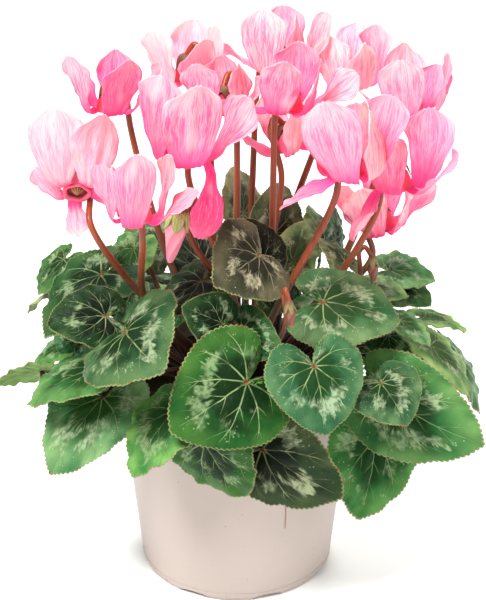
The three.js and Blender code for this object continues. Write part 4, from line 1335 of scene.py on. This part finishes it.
def hooked_stem(place, cap_top, hook, radius, flower, number):
    """The place at (r, z) lies r beside the middle of the flower and z over its mouth."""
    below = place(2 * hook + STEM_ASIDE, -STEM_UNDER)
    draw = seeded(100 + number)
    angle = math.atan2(below.y, below.x) + 0.5 * (draw() - 0.5)
    side = Vector((math.cos(angle), math.sin(angle), 0))
    root = side * CROWN_RADIUS * (0.12 + 0.4 * draw())
    root.z = TUBER_TOP - STEM_DEPTH
    middle = root.lerp(below, 0.5) + side * flower.get("bow", STEM_BOW)
    middle += Vector((-side.y, side.x, 0)) * flower.get("sway", 0)
    points = [
        root, middle, below, place(2 * hook, 2), place(2 * hook, cap_top + 0.5),
        place(hook, cap_top + 0.5 + hook), place(0, cap_top - 1),
    ]
    return stem_tube(f"flower_stem_{number}", points, radius, STEM_STEPS, 3)


def flower_stem(number, bloom):
    turn, ends, slots, stem = bloom_slots(bloom)
    mouth = Vector(bloom["mouth"])

    def place(r, z):
        return turn @ Vector((r * math.cos(stem), r * math.sin(stem), z)) + mouth

    cap_top = CALYX_BASE + CALYX_HEIGHT
    return hooked_stem(place, cap_top, HOOK_RADIUS, PEDUNCLE_RADIUS, bloom, number)


long_stems = [flower_stem(i, bloom) for i, bloom in enumerate(BLOOMS)]
print("flower stems:", len(long_stems))

# %% [markdown]
# A calyx is a small star of five pointed sepals that holds the tube from above. It could be
# five separate leaves, but on the plant they grow from one cup. So its plan is a disc of
# rings, made like the blade of a leaf, and each ring is carried down along the flower.
# Between two sepals the margin is drawn back, so the rings become five points. Buds wear
# the same star, pulled further down over their folded petals.

# %% The plan of a calyx
CALYX_RAYS = 60
CALYX_RINGS = 12
SEPALS = 5

bpy.ops.mesh.primitive_circle_add(vertices=CALYX_RAYS, radius=1)
star = bpy.context.object
star.name = "star_plan"
fill_with_rings(star, [k / (k + 1) for k in range(CALYX_RINGS - 1, 0, -1)], (0, 0, 0))
bpy.ops.object.mode_set(mode="OBJECT")
star_points = points_of(star)
star_share = np.linalg.norm(star_points[:, :2], axis=1)
star_turn = np.arctan2(star_points[:, 1], star_points[:, 0])
from_sepal = np.abs(np.mod(star_turn * SEPALS / (2 * math.pi) + 0.5, 1) - 0.5) * 2
print("calyx points:", len(star_points))

# %% [markdown]
# A grown calyx is brown-green with darker veins and a reddish edge. A young one, on a bud,
# is pale green with streaks of brown where it meets the stem. One material makes both, and
# mixes them by a number that each calyx carries.

# %% Calyx material
def calyx_material():
    calyx = Recipe("calyx_skin", 0.5, Specular_IOR_Level=0.4)
    off, share, young = calyx.parts(calyx.attribute("sheet"))
    place = calyx.place()
    spots = calyx.noise(place, 900.0, 2.0)
    grown_skin = calyx.mix(spots, (0.090, 0.050, 0.022), (0.160, 0.120, 0.050))
    young_skin = calyx.mix(spots, (0.300, 0.350, 0.090), (0.560, 0.600, 0.240))
    skin = calyx.mix(young, grown_skin, young_skin)
    midrib, side_rib = calyx.ramp(off, 0.14, 0.05), calyx.ramp(abs(off - 0.4), 0.10, 0.04)
    vein = calyx.math("MAXIMUM", midrib, side_rib) * (0.6 - young * 0.3)
    colour = calyx.mix(vein, skin, (0.160, 0.060, 0.025))
    edge = off * share - young * 0.3
    colour = calyx.mix(calyx.ramp(edge, 0.25, 0.6), colour, (0.160, 0.050, 0.025))
    streaks = ((calyx.noise(place, 1400.0, 2.0) - 0.5) * 0.8 + 0.3) * young
    colour = calyx.mix(calyx.ramp(share - streaks, 0.4, 0.05), colour, (0.150, 0.035, 0.016))
    calyx.finish("Base Color", colour)
    calyx.bump(spots, 0.0002, 0.5)
    return calyx.material


calyx_skin = calyx_material()
print("calyx material nodes:", len(calyx_skin.node_tree.nodes))

# %% [markdown]
# The star is laid on a profile, a line of radius and height in the flower's own frame. A
# ring's share of the way out says where on the profile it lies, and the gaps between the
# sepals shorten that way. A low keel runs down the middle of each sepal.

# %% Calyxes of the flowers
FLOWER_CALYX = [(0.0, 12.9), (1.7, 12.6), (3.2, 11.7), (4.1, 10.2), (4.8, 8.2), (5.5, 6.0)]
SEPAL_THICKNESS = 0.45  # mm
SEPAL_KEEL = 0.25  # mm


def star_on(profile, name, turning, shift, young):
    obj = copied(star, name)
    gap = (0.5 - 0.3 * young) * from_sepal ** (0.8 + 0.8 * young)
    reach = star_share * (1 - star_share * gap)
    places = np.linspace(0, 1, len(profile))
    radius = np.interp(reach, places, [r for r, z in profile])
    height = np.interp(reach, places, [z for r, z in profile])
    radius = radius + SEPAL_KEEL * np.clip(1 - 3 * from_sepal, 0, 1) * star_share
    local = np.column_stack([radius * np.cos(star_turn), radius * np.sin(star_turn), height])
    lay(obj, local, turning, shift)
    youth = np.full(len(star_share), young)
    write_attribute(obj, "sheet", np.column_stack([from_sepal, star_share, youth]))
    obj.data.materials.append(calyx_skin)
    thicken(obj, SEPAL_THICKNESS)
    return obj


calyxes = []
for bloom in BLOOMS:
    turn = np.array(bloom_slots(bloom)[0].to_matrix())
    calyxes.append(star_on(FLOWER_CALYX, "calyx", turn, bloom["mouth"], 0))
print("calyxes:", len(calyxes))

# %% [markdown]
# A bud is five petals rolled round each other like a closed umbrella. They could be wound
# up one by one, but only their outer folds ever show. So its form is the same disc of
# rings, pulled out into a spindle, and five ridges wind round it from the calyx to the
# point. Pale and pink stripes follow them. The small buds are still brown-red and green.

# %% Bud material
def bud_material():
    bud = Recipe("bud_petals", 0.5, Subsurface_Weight=0.25, Subsurface_Scale=0.003)
    fold, share, seed = bud.parts(bud.attribute("sheet"))
    lines = bud.noise(bud.vector(fold * 5.0, share * 2.0, seed), 1.0, 3.0)
    stripe = bud.ramp(fold + lines * 0.6, 0.25, 1.15)
    big = bud.mix(stripe, (0.980, 0.430, 0.500), (0.940, 0.240, 0.360))
    small = bud.mix(stripe, (0.260, 0.105, 0.060), (0.180, 0.040, 0.028))
    is_small = bud.math("MINIMUM", seed, 1.0)
    colour = bud.mix(is_small, big, small)
    green_point = bud.ramp(share, 0.25, 0.0) * is_small
    bud.finish("Base Color", bud.mix(green_point, colour, (0.260, 0.230, 0.100)))
    return bud.material


bud_skin = bud_material()
print("bud material nodes:", len(bud_skin.node_tree.nodes))

# %% [markdown]
# The table gives for each bud the place where it joins its stem, the way it points, its
# length and radius, its stem and hook, and how young its calyx is and how much of the bud
# it covers. The star's rings lie on the profile of the bud, and the further from the calyx
# a ring lies, the further it is turned.

# %% Petals of the buds
BUDS = [
    dict(
        top=(-25, -50, 216), points=(-0.2, -0.1, -1), length=26, radius=4.8,
        stem=1.5, hook=4.2, bow=0, sway=19, young=1.0, cover=0.36,
    ),
    dict(
        top=(64, -22, 176), points=(0.1, -0.1, -1), length=11, radius=2.6,
        stem=1.2, hook=3.2, young=0.25, cover=0.27,
    ),
    dict(
        top=(24, -78, 182), points=(0.1, 0, -1), length=11, radius=2.4,
        stem=1.2, hook=3, young=0.25, cover=0.27,
    ),
]
BUD_PROFILE = [  # radius and distance from the calyx, in the bud's radius and length
    (0.0, 1.0), (0.22, 0.98), (0.42, 0.88), (0.62, 0.72), (0.82, 0.54), (0.97, 0.4),
    (1.0, 0.3), (0.92, 0.17), (0.72, 0.06), (0.5, 0.0), (0.0, 0.0),
]
BUD_TWIST = 2.4  # radians from the calyx to the point
BUD_RIDGE = 0.16  # height of a ridge, in the bud's radius


def bud_frame(bud):
    """The bud's turn as a matrix, the way that it points, and the place of its calyx."""
    ahead = Vector(bud["points"]).normalized()
    return np.array(UP.rotation_difference(ahead).to_matrix()), ahead, Vector(bud["top"])


def bud_petals(number, bud):
    turning, ahead, top = bud_frame(bud)
    length = bud["length"]
    places = np.linspace(0, 1, len(BUD_PROFILE))
    wide = np.interp(star_share, places, [r for r, z in BUD_PROFILE]) * bud["radius"]
    deep = np.interp(star_share, places, [z for r, z in BUD_PROFILE]) * length
    fold = np.mod(SEPALS * star_turn / (2 * math.pi), 1)
    wide = wide * (1 + BUD_RIDGE * fold * np.clip(deep / length, 0, 1))
    wound = star_turn + BUD_TWIST * deep / length
    body = copied(star, f"bud_{number + 1:02d}_petals")
    local = np.column_stack([wide * np.cos(wound), wide * np.sin(wound), deep])
    lay(body, local, turning, top)
    seed = np.full(len(fold), number)
    write_attribute(body, "sheet", np.column_stack([fold, 1 - deep / length, seed]))
    body.data.materials.append(bud_skin)
    open_for_edit(body)
    close_and_face_outward(0.02)
    bpy.ops.object.shade_smooth()
    seat(body, "buds", f"bud_{number + 1:02d}")


for i, bud in enumerate(BUDS):
    bud_petals(i, bud)
print("buds:", len(BUDS))

# %% [markdown]
# The stems of the buds hook over like those of the flowers, only more tightly, and the
# calyx hugs the bud. It is turned by half the step between two sepals, so that a sepal and
# not a gap faces the viewer. After that all long stems are one piece, and so are all the
# calyxes, because they stand for one solid.

# %% Stems and calyxes of the buds
BUD_NUMBERS = 50  # the stems of the buds are counted from here
BUD_CAP_TOP = 0.35 + CALYX_HEIGHT
HALF_SEPAL = Matrix.Rotation(math.radians(180 / SEPALS), 3, "Z")


def bud_stem(number, bud):
    turning, ahead, top = bud_frame(bud)
    side = Vector((-top.x, -top.y, 0)) + UP * (TUBER_TOP - top.z)
    side = (side - ahead * side.dot(ahead)).normalized()

    def place(r, z):
        return top + side * r - ahead * z

    return hooked_stem(place, BUD_CAP_TOP, bud["hook"], bud["stem"], bud, BUD_NUMBERS + number)


def bud_calyx(bud):
    turning, ahead, top = bud_frame(bud)
    length, radius = bud["length"], bud["radius"]
    cap = [
        (0.0, -BUD_CAP_TOP + 0.4), (bud["stem"] + 0.2, -BUD_CAP_TOP + 0.8),
        (0.68 * radius, -0.8), (0.95 * radius, 0.07 * length),
        (1.08 * radius, 0.19 * length), (1.12 * radius, bud["cover"] * length),
    ]
    return star_on(cap, "bud_calyx", turning @ np.array(HALF_SEPAL), top, bud["young"])


for i, bud in enumerate(BUDS):
    long_stems.append(bud_stem(i, bud))
    calyxes.append(bud_calyx(bud))

flower_stems = joined(long_stems, "flower_stems")
flower_stems.data.materials.append(stem_skin)
bpy.ops.object.shade_smooth()
seat(flower_stems, "stems", "tuber_and_stems")
calyx_stars = joined(calyxes, "calyx_stars")
bpy.ops.object.shade_smooth()
seat(calyx_stars, "stems", "tuber_and_stems")
bpy.data.objects.remove(star)
print("flower stem faces:", len(flower_stems.data.polygons))
print("calyx faces:", len(calyx_stars.data.polygons))

# %% [markdown]
# The pot is a thin nursery pot, moulded in one piece of pinkish-beige plastic. Its outline
# is spun once round the upright axis, because a mould is turned in that way too: a tapered
# wall with a lip, a floor, and a foot ring whose edge is rounded over.

# %% The wall, the lip and the foot of the pot
POT_HEIGHT = 105
POT_BASE_RADIUS = 48
POT_FLARE = 0.1  # growth of the radius for each millimetre of height
POT_WALL = 1.6
POT_FLOOR_UNDER = 3.2
LIP_RADIUS = 60
LIP_UNDER = POT_HEIGHT - 9
POT_STEPS = 160


def wall_radius(z):
    return POT_BASE_RADIUS + POT_FLARE * z


floor_top = POT_FLOOR_UNDER + POT_WALL
POT_OUTLINE = [
    (0, floor_top), (0, POT_FLOOR_UNDER), (42.6, POT_FLOOR_UNDER), (43, POT_FLOOR_UNDER - 0.4),
    (43, 0.4), (43.4, 0), (46.6, 0), (47.4, 0.2), (48.1, 1.1), (48.35, 2.4), (48.4, 4.0),
    (48.15, 4.25), (48.2, 4.55), (48.5, 4.8),
    (wall_radius(6), 6), (wall_radius(30), 30), (wall_radius(60), 60), (wall_radius(90), 90),
    (wall_radius(LIP_UNDER) - 0.1, LIP_UNDER - 0.6), (wall_radius(LIP_UNDER) + 0.4, LIP_UNDER),
    (59.3, LIP_UNDER + 0.5), (59.9, LIP_UNDER + 0.9), (LIP_RADIUS, LIP_UNDER + 1.6),
    (LIP_RADIUS, POT_HEIGHT - 0.8), (59.6, POT_HEIGHT - 0.1), (59.0, POT_HEIGHT),
    (57.5, POT_HEIGHT), (56.9, POT_HEIGHT - 0.3),
    (wall_radius(90) - POT_WALL, 90), (wall_radius(30) - POT_WALL, 30),
    (wall_radius(8) - POT_WALL, 8), (46.0, floor_top + 0.8), (44.8, floor_top),
]
pot = spun("nursery_pot", POT_OUTLINE, POT_STEPS)
print("pot of revolution, faces:", len(pot.data.polygons))

# %% [markdown]
# Low arches through the foot ring let water run out from under the pot, and holes in the
# floor let it get there. Both are cut with cylinders, lying ones pressed flat for the
# arches and upright ones for the holes. A boolean modifier is right for this, because each
# cut crosses many faces of the spun wall.

# %% Arches and drain holes
FOOT_COUNT = 8
FOOT_TURN = -94  # degrees, the middle of the foot that faces the viewer
FOOT_RING = 45.5  # mm, middle of the foot ring
ARCH_WIDTH = 17
ARCH_HEIGHT = 2.6
ARCH_REACH = 10  # mm that an arch is cut to each side of the foot ring's middle
DRAIN_HOLES = 6
DRAIN_RADIUS = 4
DRAIN_RING = 30
CUTTER_SIDES = 32


def in_metres(place):
    return [x * MM for x in place]


cutters = []
for i in range(FOOT_COUNT):
    turn = FOOT_TURN + (i + 0.5) * 360 / FOOT_COUNT
    bpy.ops.mesh.primitive_cylinder_add(
        vertices=CUTTER_SIDES, radius=1, depth=2,
        location=in_metres(on_ring(FOOT_RING, turn, 0)),
        rotation=(0, math.pi / 2, math.radians(turn)),
    )
    cutters.append(bpy.context.object)
    cutters[-1].scale = in_metres((ARCH_HEIGHT, ARCH_WIDTH / 2, ARCH_REACH))
for i in range(DRAIN_HOLES):
    bpy.ops.mesh.primitive_cylinder_add(
        vertices=CUTTER_SIDES, radius=DRAIN_RADIUS * MM, depth=4 * POT_WALL * MM,
        location=in_metres(on_ring(DRAIN_RING, i * 360 / DRAIN_HOLES, POT_FLOOR_UNDER)),
    )
    cutters.append(bpy.context.object)
cutter = joined(cutters, "pot_cutter")
take(pot)
bpy.ops.object.modifier_add(type="BOOLEAN")
cut = pot.modifiers[0]
cut.operation = "DIFFERENCE"
cut.object = cutter
cut.solver = "EXACT"
bpy.ops.object.modifier_apply(modifier=cut.name)
bpy.data.objects.remove(cutter)
print("pot faces:", len(pot.data.polygons))

# %% [markdown]
# The plastic is matte, a little cloudy, and holds a few darker specks of the recycled stuff
# that such pots are made of. The wall is shaded smooth, and edges sharper than the limit
# stay crisp.

# %% Pot material
POT_SHARP = 32  # degrees


def shade(obj, degrees):
    take(obj)
    bpy.ops.object.shade_smooth_by_angle(angle=math.radians(degrees))


def pot_material():
    plastic = Recipe(
        "pot_plastic", 0.48, Specular_IOR_Level=0.4, Subsurface_Weight=0.05, Subsurface_Scale=0.004
    )
    place = plastic.place()
    cloud = plastic.noise(place, 14.0, 3.0)
    specks = plastic.ramp(plastic.noise(place, 520.0, 1.0), 0.73, 0.80, 0.0, 0.6)
    colour = plastic.mix(cloud, (0.458, 0.376, 0.335), (0.500, 0.420, 0.378))
    plastic.finish("Base Color", plastic.mix(specks, colour, (0.330, 0.230, 0.190)))
    plastic.bump(plastic.noise(place, 700.0, 2.0), 0.0001, 0.35)
    return plastic.material


shade(pot, POT_SHARP)
pot.data.materials.append(pot_material())
seat(pot, "pot", "pot")
print("pot height:", POT_HEIGHT, "mm, width:", 2 * LIP_RADIUS, "mm")

# %% [markdown]
# The pot is filled with dark peat, heaped a little round the tuber. The soil is a spun
# block whose top is roughened by small random lifts. Loose crumbs are pressed into it, each
# a small ball squeezed and dented by chance, because a rough surface alone looks like clay.

# %% Soil
SOIL_TOP = 97
SOIL_GAP = 2.1  # mm from the outside of the pot's wall to the soil
SOIL_STEPS = 120
SOIL_LIFT = 0.9  # mm that a point of the top is moved up or down at most
CRUMBS = 90
CRUMB_SIZES = (0.5, 1.7)  # mm from the middle to the side
CRUMB_RING = (29, 53)

soil_bottom = floor_top + 0.35
SOIL_OUTLINE = [
    (0, SOIL_TOP - 15), (0, soil_bottom), (45.2, soil_bottom), (wall_radius(30) - SOIL_GAP, 30),
    (wall_radius(SOIL_TOP) - SOIL_GAP, SOIL_TOP - 0.6), (54, SOIL_TOP), (50, SOIL_TOP + 0.5),
    (46, SOIL_TOP + 1), (42, SOIL_TOP + 1.6), (38, SOIL_TOP + 2.2), (34, SOIL_TOP + 2.4),
    (31, SOIL_TOP + 2), (28, SOIL_TOP + 1.6), (25.6, SOIL_TOP + 1), (25, 92), (18, 82),
]
soil = spun("potting_soil", SOIL_OUTLINE, SOIL_STEPS)
soil_points = points_of(soil) / MM
soil_draw = np.random.default_rng(3)
on_top = (soil_points[:, 2] > SOIL_TOP - 0.3) & (np.hypot(*soil_points[:, :2].T) < 55)
soil_points[on_top, 2] += soil_draw.uniform(-SOIL_LIFT, SOIL_LIFT, int(on_top.sum()))
set_points(soil, soil_points * MM)

bpy.ops.mesh.primitive_ico_sphere_add(subdivisions=2, radius=1 * MM)
crumb = bpy.context.object
crumb_points = points_of(crumb)
crumbs = [soil]
for i in range(CRUMBS):
    angle, radius = soil_draw.uniform(0, 2 * math.pi), soil_draw.uniform(*CRUMB_RING)
    size = soil_draw.uniform(*CRUMB_SIZES, 3)
    dents = 1 + soil_draw.uniform(-0.2, 0.2, (len(crumb_points), 1))
    height = SOIL_TOP + 1.9 - abs(radius - 36) / 12
    middle = np.array((radius * math.cos(angle), radius * math.sin(angle), height))
    crumbs.append(copied(crumb, "crumb"))
    set_points(crumbs[-1], crumb_points * size * dents + middle * MM)
bpy.data.objects.remove(crumb)
soil = joined(crumbs, "potting_soil")
shade(soil, 50)

peat = Recipe("peat", 0.95)
peat_grain = peat.noise(peat.place(), 500.0, 4.0)
peat.finish("Base Color", peat.mix(peat_grain, (0.006, 0.004, 0.003), (0.045, 0.027, 0.017)))
peat.bump(peat_grain, 0.0008)
soil.data.materials.append(peat.material)
seat(soil, "soil", "soil")
print("soil faces:", len(soil.data.polygons))

# %% [markdown]
# The tuber is a flat corky bowl, wider than it is high, and the stems hide most of it. It
# is spun like the pot and then made a little uneven, with five broad bulges and eleven
# small ones, because nothing that grows in the ground is truly round.

# %% Tuber
TUBER_OUTLINE = [
    (0, 103), (6, 102.9), (12, 102.4), (17, 101.2), (21, 98.6), (23, 95), (23.6, 92),
    (23, 88.5), (20.5, 85), (16.5, 82.4), (9, 80.2), (0, 80),
]
TUBER_RADIUS = 24

tuber = spun("tuber", TUBER_OUTLINE, 72)
tuber_points = points_of(tuber) / MM
around = np.arctan2(tuber_points[:, 1], tuber_points[:, 0])
reach = np.hypot(tuber_points[:, 0], tuber_points[:, 1])
bulge = 0.35 * np.sin(5 * around + tuber_points[:, 2] / 5) + 0.25 * np.sin(11 * around)
tuber_points[:, :2] *= (1 + bulge / TUBER_RADIUS * np.clip(reach / 12, 0, 1))[:, None]
set_points(tuber, tuber_points * MM)

cork = Recipe("cork", 0.85)
cork_grain = cork.noise(cork.place(), 180.0, 5.0)
cork.finish("Base Color", cork.mix(cork_grain, (0.050, 0.028, 0.018), (0.180, 0.110, 0.070)))
cork.bump(cork_grain, 0.0008)
tuber.data.materials.append(cork.material)
shade(tuber, 60)
seat(tuber, "stems", "tuber_and_stems")
print("tuber faces:", len(tuber.data.polygons))

# %% [markdown]
# Two hair-thin roots have grown over the lip and hang down the front of the pot. Each is a
# stem like the others, only far thinner, laid a hair's breadth off the wall.

# %% Stray roots
ROOTS = [(24.0, 23.6, 42), (24.4, 24.6, 55)]  # mm to the right at the lip, at the end; end's height
ROOT_RADIUS = 0.17
ROOT_STANDS_OFF = 0.35
ROOT_SHARES = (0, 0.12, 0.3, 0.5, 0.7, 0.85, 1)  # where its points lie on the way down
ROOT_CURL = 0.7  # mm


def root_line(number, start, end, low):
    line = []
    for share in ROOT_SHARES:
        z = POT_HEIGHT + 0.6 + (low - POT_HEIGHT) * share
        radius = (LIP_RADIUS if z > LIP_UNDER - 4 else wall_radius(z)) + ROOT_STANDS_OFF
        x = start + (end - start) * share + ROOT_CURL * math.sin(9 * share + number) * share
        line.append((x, -math.sqrt(radius**2 - x**2), z))
    return [(start, line[0][1] + 4, POT_HEIGHT + ROOT_STANDS_OFF), *line]


strays = []
for i, root in enumerate(ROOTS):
    strays.append(stem_tube(f"root_{i}", root_line(i, *root), ROOT_RADIUS, 40, 1))
roots = joined(strays, "stray_roots")
root_skin = Recipe("root_skin", 0.6)
root_skin.finish("Base Color", (0.380, 0.150, 0.070))
roots.data.materials.append(root_skin.material)
bpy.ops.object.shade_smooth()
seat(roots, "stems", "tuber_and_stems")
print("stray roots:", len(ROOTS))
